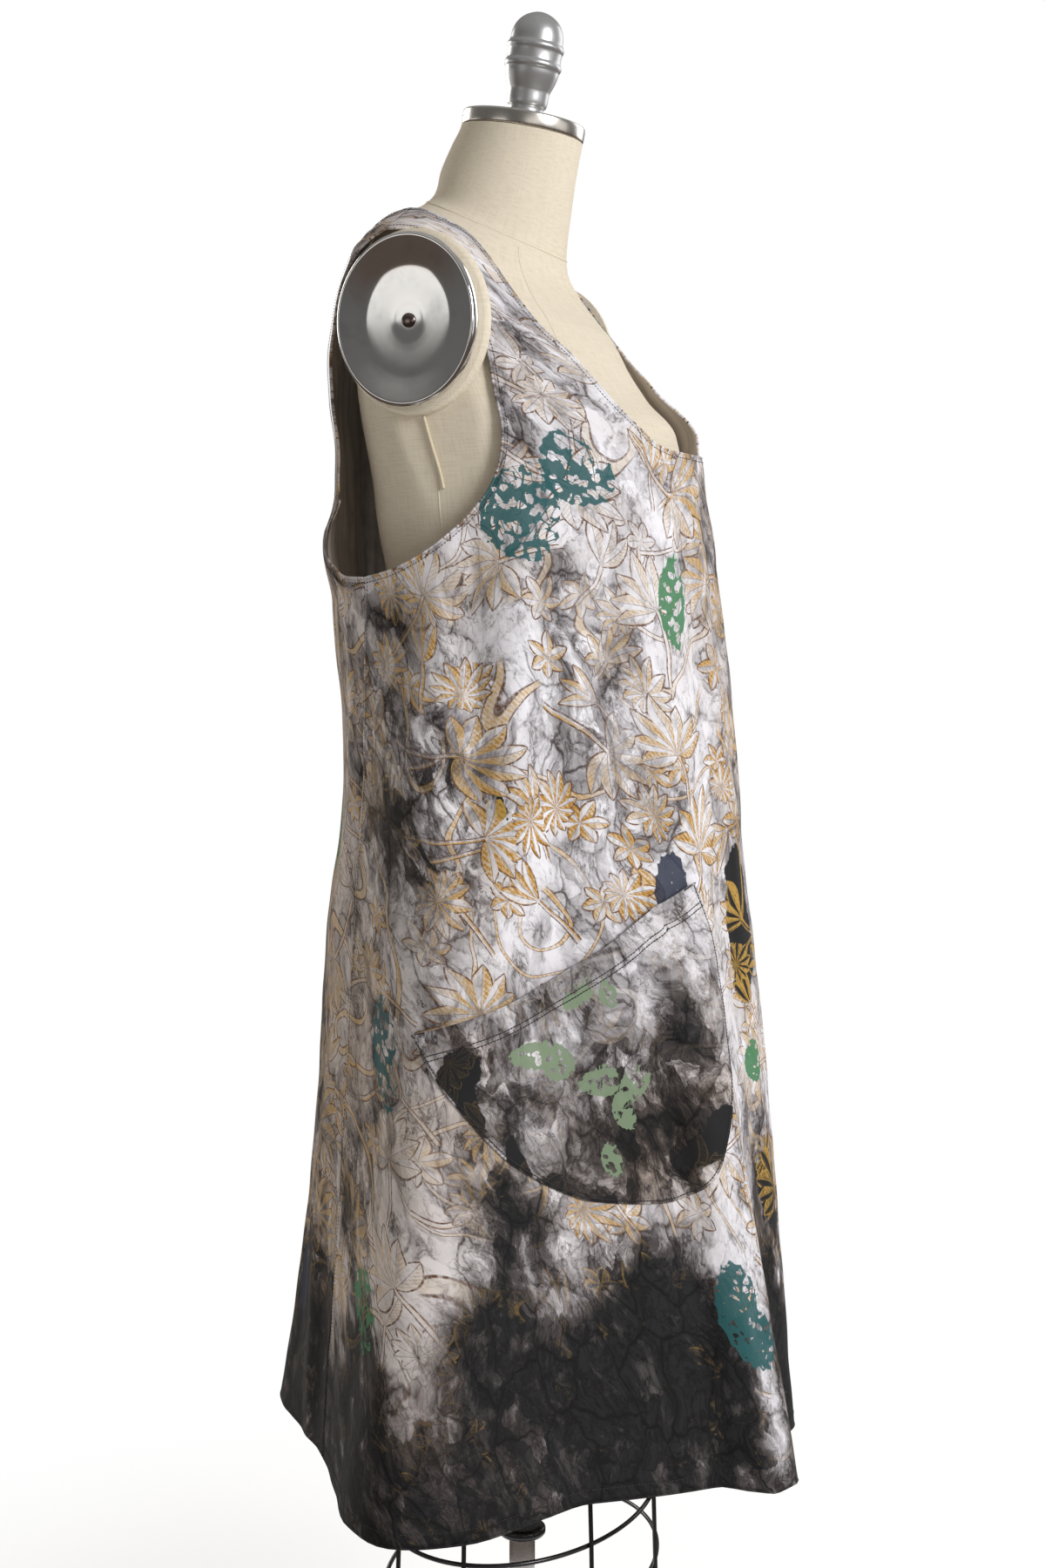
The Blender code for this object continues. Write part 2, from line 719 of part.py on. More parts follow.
def add_pocket(front, material):
    """Add the patch pocket: its points are the front's, moved out."""
    columns = 34
    rows = 10
    top = spaced_places(POCKET_TOP, 0, len(POCKET_TOP) - 1, columns, cloth_point)
    low = spaced_places(POCKET_OUTLINE, 0, len(POCKET_OUTLINE) - 1, columns, cloth_point)
    places = []
    lifts = []
    for upper, lower in zip(top[1:-1], low[1:-1]):
        for row in range(rows + 1):
            share = row / rows
            places.append(mix_places(upper, lower, share))
            lifts.append(POCKET_LIFT + POCKET_GAPE * (1.0 - share) ** 3)
    for end in (top[0], top[-1]):
        places.append(end)
        lifts.append(POCKET_LIFT)
    faces = grid_faces(0, columns - 2, rows)
    first_end = len(places) - 2
    last_end = len(places) - 1
    last_column = (columns - 2) * (rows + 1)
    for row in range(rows):
        faces.append((row + 1, row, first_end))
        faces.append((last_column + row, last_column + row + 1, last_end))

    corners = [vertex.co for vertex in front.data.vertices]
    facets = [tuple(polygon.vertices) for polygon in front.data.polygons]
    front_tree = BVHTree.FromPolygons(corners, facets)
    points = []
    normals = []
    for place in places:
        normal = surface_normal(cloth_point, *place)
        start = cloth_point(*place) + normal * PROBE_DISTANCE
        points.append(front_tree.ray_cast(start, -normal)[0])
        normals.append(normal)
    return add_wall("pocket_right", points, normals, faces, lifts, CLOTH_THICKNESS, material)


# ---------------------------------------------------------------------------
# The dress form
# ---------------------------------------------------------------------------

def neck_frame():
    """Return the matrix that stands a piece on the tilted top of the neck."""
    return Matrix.Translation(NECK_TOP) @ Matrix.Rotation(math.radians(NECK_TILT), 4, "X")


def add_torso(material):
    """Add the linen torso and neck as one solid."""
    sides = 40
    levels = 26
    crowding = 1.35       # sets the levels closer towards the neck
    low = FIGURE[0].height
    high = FIGURE[-1].height
    rings = []
    for level in range(levels + 1):
        share = level / levels
        height = low + (high - low) * (1.0 - (1.0 - share) ** crowding)
        rings.append([figure_point(-360.0 * i / sides, height) for i in range(sides)])
    return add_loft("torso", rings, material)


def add_neck_ring(material):
    """Add the metal ring that caps the neck, with a small round on its edges."""
    edge = 0.0012
    stations = (
        Turn(FIT_GAP, NECK_RING_RADIUS - edge),
        Turn(FIT_GAP + edge, NECK_RING_RADIUS),
        Turn(NECK_RING_HEIGHT - edge, NECK_RING_RADIUS),
        Turn(NECK_RING_HEIGHT, NECK_RING_RADIUS - edge),
    )
    return add_turned("neck_ring", stations, 48, material, neck_frame())


def add_finial(material):
    """Add the turned knob on top of the neck ring."""
    lift = NECK_RING_HEIGHT + FIT_GAP
    stations = [Turn(row.height + lift, row.radius) for row in FINIAL]
    stations.append(Turn(FINIAL_HEIGHT + lift, 0.0015))
    return add_turned("finial", stations, 24, material, neck_frame())


def oval(side, distance, share_y, share_z, sides):
    """Return an upright oval ring of points at a distance out from the middle."""
    points = []
    for i in range(sides):
        turn = 2.0 * math.pi * i / sides
        points.append(Vector((
            side * distance,
            ARM_CENTRE_Y + share_y * math.cos(turn),
            ARM_CENTRE_Z + share_z * math.sin(turn),
        )))
    return points


def add_arm(side, name, linen, chrome, steel):
    """Add the linen cap, the dished plate and its screw on one side (+1 is the left)."""
    sides = 40
    half_y = PLATE_HALF_WIDTH
    half_z = PLATE_HALF_HEIGHT
    cap_inner = ARM_CUT_X + FIT_GAP
    cap_outer = cap_inner + CAP_THICKNESS
    edge = 0.0025
    add_loft("shoulder_cap_" + name, [
        oval(side, cap_inner, half_y + CAP_MARGIN, half_z + CAP_MARGIN, sides),
        oval(side, cap_outer - edge, half_y + CAP_MARGIN, half_z + CAP_MARGIN, sides),
        oval(side, cap_outer, half_y + CAP_MARGIN - edge, half_z + CAP_MARGIN - edge, sides),
    ], linen)
    plate_foot = cap_outer + FIT_GAP
    add_loft("arm_plate_" + name, [
        oval(side, plate_foot + row.height, half_y * row.radius, half_z * row.radius, sides)
        for row in PLATE_PROFILE
    ], chrome, flat_angle=60.0)
    screw_foot = plate_foot + PLATE_PROFILE[-1].height + FIT_GAP
    crown = SCREW_RADIUS - 0.0018
    add_loft("plate_screw_" + name, [
        oval(side, screw_foot, SCREW_RADIUS, SCREW_RADIUS, 20),
        oval(side, screw_foot + SCREW_HEIGHT - 0.001, SCREW_RADIUS, SCREW_RADIUS, 20),
        oval(side, screw_foot + SCREW_HEIGHT, crown, crown, 20),
    ], steel)


def add_cord(material):
    """Add the cord that is tacked down the linen below the right plate."""
    stand_off = CORD_RADIUS + FIT_GAP
    points = []
    for place in CORD_PLACES:
        normal = surface_normal(figure_point, *place)
        points.append(figure_point(*place) + normal * stand_off)
    return add_tube("side_cord", points, CORD_RADIUS, material)


def add_cage(material):
    """Add the hoops and the upright wires, each a wire of its own."""
    hoop_sides = 44
    for number, row in enumerate(CAGE[1:], 1):
        points = [section_point(row, -360.0 * i / hoop_sides) for i in range(hoop_sides)]
        add_tube("cage_hoop_%d" % number, points, WIRE_RADIUS, material, closed=True, resolution=1)
    outside = 2.0 * WIRE_RADIUS + FIT_GAP
    for number, angle in enumerate(WIRE_ANGLES, 1):
        points = []
        for row in CAGE:
            point = section_point(row, angle)
            outward = Vector((point.x, point.y, 0.0)).normalized()
            points.append(point + outward * outside)
        top = section_point(CAGE[0], angle)
        top.z = TORSO_BOTTOM - FIT_GAP
        points[0] = top
        points[-1].z -= WIRE_RADIUS
        add_tube("cage_wire_%02d" % number, points, WIRE_RADIUS, material, resolution=1)


def add_stand(black, chrome):
    """Add the support tube, the collar, the pole and the weighted base."""
    edge = 0.0015
    collar_top = COLLAR_BOTTOM + COLLAR_THICKNESS
    add_turned("support_tube", (
        Turn(collar_top + FIT_GAP, SUPPORT_RADIUS),
        Turn(TORSO_BOTTOM - FIT_GAP, SUPPORT_RADIUS),
    ), 24, black)
    add_turned("collar", (
        Turn(COLLAR_BOTTOM, COLLAR_RADIUS - edge),
        Turn(COLLAR_BOTTOM + edge, COLLAR_RADIUS),
        Turn(collar_top - edge, COLLAR_RADIUS),
        Turn(collar_top, COLLAR_RADIUS - edge),
    ), 32, black)
    socket_top = BASE_THICKNESS + SOCKET_HEIGHT
    add_turned("pole", (
        Turn(socket_top + FIT_GAP, POLE_RADIUS),
        Turn(COLLAR_BOTTOM - FIT_GAP, POLE_RADIUS),
    ), 28, chrome)
    add_turned("base_socket", (
        Turn(BASE_THICKNESS + FIT_GAP, SOCKET_RADIUS),
        Turn(BASE_THICKNESS + 0.010, SOCKET_TOP_RADIUS + 0.006),
        Turn(socket_top - edge, SOCKET_TOP_RADIUS),
        Turn(socket_top, SOCKET_TOP_RADIUS - edge),
    ), 28, black)
    add_turned("base_plate", (
        Turn(0.0, BASE_RADIUS - 0.003),
        Turn(0.003, BASE_RADIUS),
        Turn(BASE_THICKNESS - 0.005, BASE_RADIUS),
        Turn(BASE_THICKNESS, BASE_RADIUS - 0.010),
    ), 56, black)


def main():
    """Clear the scene and build the dress and its form."""
    for old in list(bpy.data.objects):
        bpy.data.objects.remove(old, do_unlink=True)

    front_cloth = make_material("front_cloth", (0.50, 0.49, 0.51), 0.85)
    back_cloth = make_material("back_cloth", (0.36, 0.33, 0.31), 0.85)
    pocket_cloth = make_material("pocket_cloth", (0.22, 0.24, 0.22), 0.85)
    linen = make_material("linen", (0.72, 0.66, 0.55), 0.90)
    chrome = make_material("polished_steel", (0.72, 0.72, 0.73), 0.15, 1.0)
    silver = make_material("silver_paint", (0.40, 0.41, 0.42), 0.40, 0.6)
    black = make_material("black_coating", (0.02, 0.02, 0.022), 0.35)
    cord = make_material("cord", (0.75, 0.68, 0.52), 0.80)

    front = add_panel("front", FRONT_ARMHOLE, FRONT_ARMHOLE_CORNER,
                      FRONT_NECKLINE, FRONT_NECKLINE_CORNER, 0.0, front_cloth)
    add_panel("back", BACK_ARMHOLE, BACK_ARMHOLE_CORNER,
              BACK_NECKLINE, BACK_NECKLINE_CORNER, 180.0, back_cloth)
    add_pocket(front, pocket_cloth)

    add_torso(linen)
    add_neck_ring(chrome)
    add_finial(silver)
    add_arm(-1.0, "right", linen, chrome, silver)
    add_arm(1.0, "left", linen, chrome, silver)
    add_cord(cord)
    add_cage(black)
    add_stand(black, chrome)


main()
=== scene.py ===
"""Looks of a sleeveless apron dress on a limbless dress form.

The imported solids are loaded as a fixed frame. Cloth, linen and metal are then built
round them from the same tables, in metres and with +Z up. The wearer faces -Y, angles
round the body are in degrees from the front, and +90 is the wearer's right side.
"""

from __future__ import annotations

import json
import logging
import math
from dataclasses import dataclass, field, fields
from enum import Enum
from pathlib import Path
from typing import Callable, Optional, Sequence, Union

import bpy
import numpy as np
from mathutils import Matrix, Vector
from mathutils.bvhtree import BVHTree
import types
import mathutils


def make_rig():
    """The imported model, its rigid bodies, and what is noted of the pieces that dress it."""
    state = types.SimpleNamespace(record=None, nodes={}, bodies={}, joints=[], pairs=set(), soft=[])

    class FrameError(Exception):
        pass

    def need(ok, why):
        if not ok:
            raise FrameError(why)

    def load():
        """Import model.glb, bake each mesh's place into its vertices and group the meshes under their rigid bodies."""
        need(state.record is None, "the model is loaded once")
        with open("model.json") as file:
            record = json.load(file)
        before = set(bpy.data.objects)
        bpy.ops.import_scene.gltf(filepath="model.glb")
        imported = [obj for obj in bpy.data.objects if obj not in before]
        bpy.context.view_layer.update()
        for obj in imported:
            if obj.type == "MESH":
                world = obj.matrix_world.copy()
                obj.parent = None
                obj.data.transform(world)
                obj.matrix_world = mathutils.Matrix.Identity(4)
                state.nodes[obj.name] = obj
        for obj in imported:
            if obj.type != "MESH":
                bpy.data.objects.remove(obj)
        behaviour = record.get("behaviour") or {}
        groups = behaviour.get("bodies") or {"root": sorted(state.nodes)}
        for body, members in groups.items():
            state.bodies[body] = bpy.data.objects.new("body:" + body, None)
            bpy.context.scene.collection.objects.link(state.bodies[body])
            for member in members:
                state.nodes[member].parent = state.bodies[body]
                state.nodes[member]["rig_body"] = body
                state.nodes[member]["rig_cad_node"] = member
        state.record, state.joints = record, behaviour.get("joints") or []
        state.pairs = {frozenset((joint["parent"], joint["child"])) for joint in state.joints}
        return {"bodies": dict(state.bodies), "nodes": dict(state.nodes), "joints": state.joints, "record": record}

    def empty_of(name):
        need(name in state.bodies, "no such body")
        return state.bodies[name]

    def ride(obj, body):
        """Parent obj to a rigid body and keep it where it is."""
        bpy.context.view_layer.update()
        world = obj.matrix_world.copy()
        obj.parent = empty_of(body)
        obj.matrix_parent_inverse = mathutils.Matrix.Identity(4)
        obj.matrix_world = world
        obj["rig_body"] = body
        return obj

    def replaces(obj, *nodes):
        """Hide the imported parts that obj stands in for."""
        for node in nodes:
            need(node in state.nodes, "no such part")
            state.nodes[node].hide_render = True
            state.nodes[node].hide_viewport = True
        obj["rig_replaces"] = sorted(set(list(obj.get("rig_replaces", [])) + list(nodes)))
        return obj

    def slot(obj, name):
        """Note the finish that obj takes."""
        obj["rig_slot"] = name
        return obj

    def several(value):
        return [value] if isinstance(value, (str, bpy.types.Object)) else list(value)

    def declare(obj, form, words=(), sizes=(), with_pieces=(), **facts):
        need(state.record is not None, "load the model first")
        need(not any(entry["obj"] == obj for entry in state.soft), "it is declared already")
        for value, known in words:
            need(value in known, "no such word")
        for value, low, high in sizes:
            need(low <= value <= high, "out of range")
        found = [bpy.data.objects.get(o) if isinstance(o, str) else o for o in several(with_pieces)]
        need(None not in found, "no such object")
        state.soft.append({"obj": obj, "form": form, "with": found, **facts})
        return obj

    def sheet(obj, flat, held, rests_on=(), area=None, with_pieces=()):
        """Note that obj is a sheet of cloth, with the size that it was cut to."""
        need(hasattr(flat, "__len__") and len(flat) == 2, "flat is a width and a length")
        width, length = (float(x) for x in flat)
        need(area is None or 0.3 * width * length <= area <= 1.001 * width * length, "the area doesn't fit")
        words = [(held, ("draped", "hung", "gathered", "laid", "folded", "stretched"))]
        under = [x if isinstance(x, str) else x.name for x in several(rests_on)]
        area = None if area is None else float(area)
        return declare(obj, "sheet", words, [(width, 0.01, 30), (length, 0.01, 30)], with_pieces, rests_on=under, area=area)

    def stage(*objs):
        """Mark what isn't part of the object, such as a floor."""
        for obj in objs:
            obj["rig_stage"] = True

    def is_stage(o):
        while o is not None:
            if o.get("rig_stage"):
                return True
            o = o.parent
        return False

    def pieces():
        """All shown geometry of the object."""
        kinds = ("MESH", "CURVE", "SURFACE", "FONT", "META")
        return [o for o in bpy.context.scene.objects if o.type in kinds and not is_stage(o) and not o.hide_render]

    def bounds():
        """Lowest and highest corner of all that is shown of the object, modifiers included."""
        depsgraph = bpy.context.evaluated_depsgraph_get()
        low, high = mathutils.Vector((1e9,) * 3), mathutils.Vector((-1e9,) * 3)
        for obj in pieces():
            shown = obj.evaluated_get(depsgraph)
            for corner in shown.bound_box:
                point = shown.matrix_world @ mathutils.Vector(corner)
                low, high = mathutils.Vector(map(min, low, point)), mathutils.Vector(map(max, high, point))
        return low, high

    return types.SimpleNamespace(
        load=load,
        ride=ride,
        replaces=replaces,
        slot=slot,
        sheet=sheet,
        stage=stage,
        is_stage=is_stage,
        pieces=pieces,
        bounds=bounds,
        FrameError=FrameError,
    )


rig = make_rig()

LOG = logging.getLogger("dress")
Array = np.ndarray
Colour = tuple[float, float, float]
Socket = bpy.types.NodeSocket
Tree = bpy.types.NodeTree
Material = bpy.types.Material
Piece = bpy.types.Object

# --- Sizes, as in the solids ---

HANG_HEIGHT = 1.2        # the cloth falls freely below this level
HEM_HEIGHT = 0.41
SIDE_SEAM = 113.0
SHOULDER_SEAM = 92.0
SEAM_HALF_GAP = 0.0002
SIDE_RADIUS = 0.19       # from the body's middle to the side seam
SHOULDER_RADIUS = 0.1    # and to the shoulder seam
FIT_GAP = 0.0003
CLOTH_THICKNESS = 0.0012
THREAD_LIFT = 0.00015    # of a stitch's middle line off the cloth
BODY_GAP = 0.0009        # the least between the cloth's inside and the body
ARM_CUT_X = 0.16
ARM_CENTRE = (0.0365, 1.4085)
PLATE_HALF = (0.065, 0.0745)
CAP_MARGIN = 0.005
CAP_THICKNESS = 0.009
NECK_TOP = Vector((0.0, 0.0, 1.5975))
NECK_TILT = 9.8
NECK_RING_RADIUS = 0.0568
NECK_RING_HEIGHT = 0.0135

# height, half width, front, back, centre y, tilt, front squareness, back squareness
FIGURE = np.array((
    (0.7, 0.15, 0.102, 0.11, 0.006, 0, 2.2, 2.2), (0.85, 0.176, 0.115, 0.122, 0.006, 0, 2.2, 2.2),
    (0.98, 0.156, 0.108, 0.108, 0.005, 0, 2.2, 2.2), (1.08, 0.133, 0.105, 0.098, 0.004, 0, 2.2, 2.2),
    (1.18, 0.148, 0.129, 0.11, 0.003, 0, 2.1, 2.2), (1.26, 0.162, 0.16, 0.12, 0.005, 0, 1.9, 2.2),
    (1.32, 0.167, 0.159, 0.117, 0.015, 0, 1.8, 2.3), (1.365, 0.169, 0.145, 0.105, 0.03, 4, 1.8, 2.4),
    (1.41, 0.169, 0.135, 0.094, 0.04, 9, 1.7, 2.4), (1.445, 0.166, 0.13, 0.0867, 0.043, 16, 1.7, 2.3),
    (1.472, 0.156, 0.116, 0.0797, 0.042, 22, 1.65, 2.2), (1.492, 0.137, 0.093, 0.073, 0.038, 25, 1.7, 2.1),
    (1.506, 0.093, 0.078, 0.063, 0.031, 27, 1.9, 2), (1.52, 0.071, 0.0703, 0.061, 0.0245, 26, 2, 2),
    (1.545, 0.0635, 0.0628, 0.0638, 0.0155, 20, 2, 2), (1.575, 0.058, 0.0575, 0.0611, 0.006, 13, 2, 2),
    (1.592, 0.0563, 0.0563, 0.0572, 0.0012, 10.3, 2, 2), (1.5972, 0.0563, 0.0563, 0.0563, 0, 9.8, 2, 2),
))
YOKE = np.array((
    (1.14, 0.198, 0.181, 0.147, 0, 0, 1.9, 2.5), (1.2, 0.191, 0.1785, 0.151, 0, 0, 1.8, 2.7),
    (1.26, 0.182, 0.177, 0.148, 0.005, 0, 1.8, 2.8), (1.31, 0.176, 0.184, 0.133, 0.02, 0, 1.9, 2.8),
    (1.35, 0.175, 0.18, 0.116, 0.04, 0, 1.9, 2.7), (1.4, 0.175, 0.155, 0.098, 0.054, 0, 1.95, 2.7),
    (1.44, 0.175, 0.117, 0.086, 0.058, 0, 2.1, 2.6), (1.475, 0.169, 0.083, 0.072, 0.06, 0, 2.4, 2.3),
    (1.492, 0.159, 0.064, 0.061, 0.06, 0, 2.4, 2.2), (1.507, 0.13, 0.046, 0.05, 0.06, 0, 2.3, 2.2),
    (1.518, 0.108, 0.035, 0.042, 0.06, 0, 2.2, 2.2), (1.53, 0.08, 0.028, 0.034, 0.06, 0, 2.2, 2.2),
))
CAGE = np.array((
    (0.7, 0.144, 0.096, 0.104, 0.006, 0, 2.2, 2.2), (0.6, 0.156, 0.105, 0.11, 0.002, 0, 2.1, 2.1),
    (0.46, 0.168, 0.114, 0.115, -0.001, 0, 2, 2), (0.319, 0.176, 0.12, 0.12, -0.002, 0, 2, 2),
    (0.25, 0.179, 0.122, 0.122, -0.002, 0, 2, 2),
))

# angle, height, reach in angle, reach in height, distance out
SWELLS = (
    (180, 1.02, 90, 0.17, -0.017), (130, 1.218, 32, 0.052, 0.012), (230, 1.218, 32, 0.052, 0.011),
    (150, 0.76, 45, 0.25, 0.003), (315, 1.4, 40, 0.11, 0.004), (333, 1.336, 30, 0.036, 0.013),
)

# angle at the hang line, angle at the hem, hem radius, hem height, growth
FALLS = np.array((
    (0, -3, 0.263, 0.411, 0.9), (8, 3.5, 0.261, 0.411, 0.95), (15, 8.5, 0.266, 0.41, 1),
    (22, 13.5, 0.284, 0.408, 1.05), (29, 18.6, 0.31, 0.406, 1.05), (34, 23.5, 0.31, 0.406, 1.1),
    (39, 27, 0.296, 0.408, 1.1), (43, 30, 0.272, 0.409, 1.1), (48, 37, 0.266, 0.41, 1.1),
    (54, 47, 0.261, 0.411, 1.05), (60, 56, 0.259, 0.411, 1), (67, 66, 0.283, 0.41, 1),
    (76, 77, 0.332, 0.409, 1), (84, 87, 0.35, 0.408, 1), (92, 95.5, 0.324, 0.408, 1),
    (100, 104, 0.278, 0.409, 1.1), (109, 114, 0.243, 0.41, 1.3), (120, 126, 0.224, 0.411, 1.6),
    (134, 139, 0.219, 0.411, 1.8), (148, 153, 0.228, 0.41, 1.9), (162, 165, 0.234, 0.41, 1.9),
    (180, 180, 0.216, 0.411, 1.8), (198, 196, 0.233, 0.41, 1.9), (212, 208, 0.227, 0.41, 1.9),
    (228, 223, 0.218, 0.411, 1.8), (240, 234, 0.227, 0.411, 1.6), (251, 246, 0.246, 0.41, 1.3),
    (260, 256, 0.282, 0.409, 1.1), (269, 266, 0.326, 0.408, 1), (277, 275, 0.344, 0.408, 1),
    (285, 285, 0.32, 0.409, 1), (294, 295, 0.28, 0.41, 1), (303, 306, 0.26, 0.411, 1),
    (314, 317, 0.262, 0.411, 1), (326, 329, 0.255, 0.41, 0.9), (338, 341, 0.252, 0.41, 0.86),
    (349, 350, 0.2565, 0.411, 0.86),
))

# Edges of the panels and the pocket, and the cord's line, as angle and height.
FRONT_ARMHOLE = np.array((
    (113, 1.189), (105.5, 1.1945), (98.5, 1.204), (91, 1.219), (82.5, 1.242), (75, 1.27), (68.8, 1.306),
    (64.8, 1.345), (63, 1.385), (65, 1.41), (68.4, 1.437), (75.7, 1.475), (84, 1.489), (92, 1.491),
))
BACK_ARMHOLE = np.array((
    (113, 1.189), (120, 1.19), (127.5, 1.198), (131.5, 1.215), (131.5, 1.24), (129, 1.278), (124.5, 1.332),
    (121, 1.371), (118.5, 1.4), (113, 1.438), (103, 1.472), (92, 1.491),
))
FRONT_NECKLINE = np.array((
    (0, 1.3), (12, 1.301), (21, 1.3065), (25.5, 1.325), (29.5, 1.347), (37, 1.386), (44.5, 1.409),
    (53, 1.449), (64, 1.49), (76, 1.506), (87, 1.514), (92, 1.516),
))
BACK_NECKLINE = np.array((
    (180, 1.43), (166, 1.433), (152, 1.444), (136, 1.468), (114, 1.501), (92, 1.516),
))
POCKET_TOP = np.array((
    (87.2, 0.809), (76.4, 0.826), (65.5, 0.848), (54.8, 0.871), (43.7, 0.902), (30, 0.9285),
))
POCKET_OUTLINE = np.array((
    (87.2, 0.809), (78.7, 0.751), (69.4, 0.697), (58, 0.663), (46.5, 0.656), (38.5, 0.67), (32.2, 0.707),
    (26.4, 0.78), (25.2, 0.856), (30, 0.9285),
))
CORD_PLACES = np.array((
    (94, 1.328), (93.8, 1.315), (93.4, 1.302), (92.8, 1.289), (92.2, 1.277), (91.8, 1.266),
))
WIRE_ANGLES = (44.1, 86.3, 111.4, 208.0, 229.8, 269.4, 284.9, 349.5)


class Slot(Enum):
    """The material slots of the solids."""

    FRONT = "front_cloth"
    BACK = "back_cloth"
    POCKET = "pocket_cloth"
    LINEN = "linen"
    STEEL = "polished_steel"
    SILVER = "silver_paint"
    BLACK = "black_coating"
    CORD = "cord"


# --- Surfaces given by angle and height ---

Surface = Callable[[Array, Array], Array]


def smooth_rows(keys: Array, table: Array, at: Array) -> Array:
    """Read smooth curves through the rows of a table that never overshoot them.

    Args:
        keys: The key of each row, rising.
        table: One row of values for each key.
        at: The keys to read.

    Returns:
        One row of values for each key read.
    """
    span = np.diff(keys)
    slope = np.diff(table, axis=0) / span[:, None]
    before, after = slope[:-1], slope[1:]
    same_way = before * after > 0.0
    total = np.where(same_way, before + after, 1.0)
    middle = np.where(same_way, 2.0 * before * after / total, 0.0)
    tangent = np.vstack((slope[:1], middle, slope[-1:]))
    row = np.clip(np.searchsorted(keys, at, side="left") - 1, 0, len(keys) - 2)
    width = span[row]
    t = np.clip((at - keys[row]) / width, 0.0, 1.0)[:, None]
    width = width[:, None]
    return (
        (2 * t**3 - 3 * t**2 + 1) * table[row]
        + (t**3 - 2 * t**2 + t) * width * tangent[row]
        + (3 * t**2 - 2 * t**3) * table[row + 1]
        + (t**3 - t**2) * width * tangent[row + 1]
    )


def section_points(rows: Array, angle: Array, height: Array) -> Array:
    """Return points of a body lofted through a table of sections.

    Args:
        rows: The table, as FIGURE is.
        angle: The angle of each point.
        height: The height of each point.

    Returns:
        The points.
    """
    _, half, front, back, centre, tilt, front_sq, back_sq = smooth_rows(rows[:, 0], rows, height).T
    turn = np.radians(angle)
    ahead = np.cos(turn) >= 0.0
    depth = np.where(ahead, front, back)
    power = np.where(ahead, front_sq, back_sq)
    across = np.abs(np.sin(turn)) / half
    along = np.abs(np.cos(turn)) / depth
    radius = (across**power + along**power) ** (-1.0 / power)
    rear = -radius * np.cos(turn)
    lean = np.radians(tilt)
    return np.stack((
        -radius * np.sin(turn),
        centre + rear * np.cos(lean),
        height + rear * np.sin(lean),
    ), axis=-1)


def figure_points(angle: Array, height: Array) -> Array:
    """Return points on the padded figure, with its two flat arm cuts."""
    points = section_points(FIGURE, angle, height)
    points[:, 0] = np.clip(points[:, 0], -ARM_CUT_X, ARM_CUT_X)
    return points


def turned_apart(angle: Union[Array, float], centre: float) -> Union[Array, float]:
    """Return how far angles lie from a centre, the short way round."""
    return (angle - centre + 180.0) % 360.0 - 180.0


def cloth_points(angle: Array, height: Array) -> Array:
    """Return points on the outside of the dress.

    Args:
        angle: The angle of each point.
        height: The height of each point.

    Returns:
        The points.
    """
    wrapped = np.vstack([FALLS + (turn, turn, 0.0, 0.0, 0.0) for turn in (-360.0, 0.0, 360.0)])
    table = smooth_rows(wrapped[:, 0], wrapped, angle % 360.0)
    fall_angle, hem_angle, hem_radius, hem_height, growth = table.T
    hang = section_points(YOKE, angle, np.full_like(height, HANG_HEIGHT))
    drop = np.clip((HANG_HEIGHT - height) / (HANG_HEIGHT - HEM_HEIGHT), 0.0, None)
    radius = np.hypot(hang[:, 0], hang[:, 1])
    radius = radius + (hem_radius - radius) * drop**growth
    turn = np.radians(fall_angle + (hem_angle - fall_angle) * drop)
    level = HANG_HEIGHT + (hem_height - HANG_HEIGHT) * drop
    low = np.stack((-radius * np.sin(turn), -radius * np.cos(turn), level), axis=-1)
    points = np.where((height >= HANG_HEIGHT)[:, None], section_points(YOKE, angle, height), low)

    out = np.zeros_like(height)
    for centre, level, angle_reach, height_reach, distance in SWELLS:
        apart = (turned_apart(angle, centre) / angle_reach) ** 2
        apart = apart + ((height - level) / height_reach) ** 2
        out += distance * np.clip(1.0 - apart, 0.0, None) ** 2
    aim = np.radians(angle)
    outward = np.stack((-np.sin(aim), -np.cos(aim), np.zeros_like(aim)), axis=-1)
    return points + outward * out[:, None]


def eased(share: Array) -> Array:
    """Return shares between 0 and 1 with soft ends."""
    return share * share * (3.0 - 2.0 * share)


def unit(rows: Array) -> Array:
    """Return each row scaled to length 1."""
    return rows / np.maximum(np.linalg.norm(rows, axis=-1, keepdims=True), 1e-12)


def surface_normals(surface: Surface, angle: Array, height: Array) -> Array:
    """Return the outward normals of a surface.

    Args:
        surface: Gives points for angles and heights.
        angle: The angle of each place.
        height: The height of each place.

    Returns:
        The normals.
    """
    step_angle = 0.6
    step_height = 0.0015
    across = surface(angle - step_angle, height) - surface(angle + step_angle, height)
    up = surface(angle, height + step_height) - surface(angle, height - step_height)
    return unit(np.cross(across, up))


def read_rows(rows: Array, position: Array) -> Array:
    """Return the smooth values of a table at positions counted in rows."""
    return smooth_rows(np.arange(len(rows), dtype=float), rows, position)


def spaced_places(rows: Array, start: float, end: float, count: int) -> Array:
    """Return places evenly spaced on the cloth between two rows of an edge table.

    Args:
        rows: Angles and heights along the edge.
        start: The row to start at.
        end: The row to end at.
        count: How many steps to take.

    Returns:
        An angle and a height for each of count + 1 places.
    """
    position = np.linspace(start, end, 24 * count + 1)
    points = cloth_points(*read_rows(rows, position).T)
    steps = np.linalg.norm(np.diff(points, axis=0), axis=1)
    run = np.concatenate(((0.0,), np.cumsum(steps)))
    return read_rows(rows, np.interp(np.linspace(0.0, run[-1], count + 1), run, position))


METRES_PER_DEGREE = 0.0036  # mean girth of the dress over 360 degrees

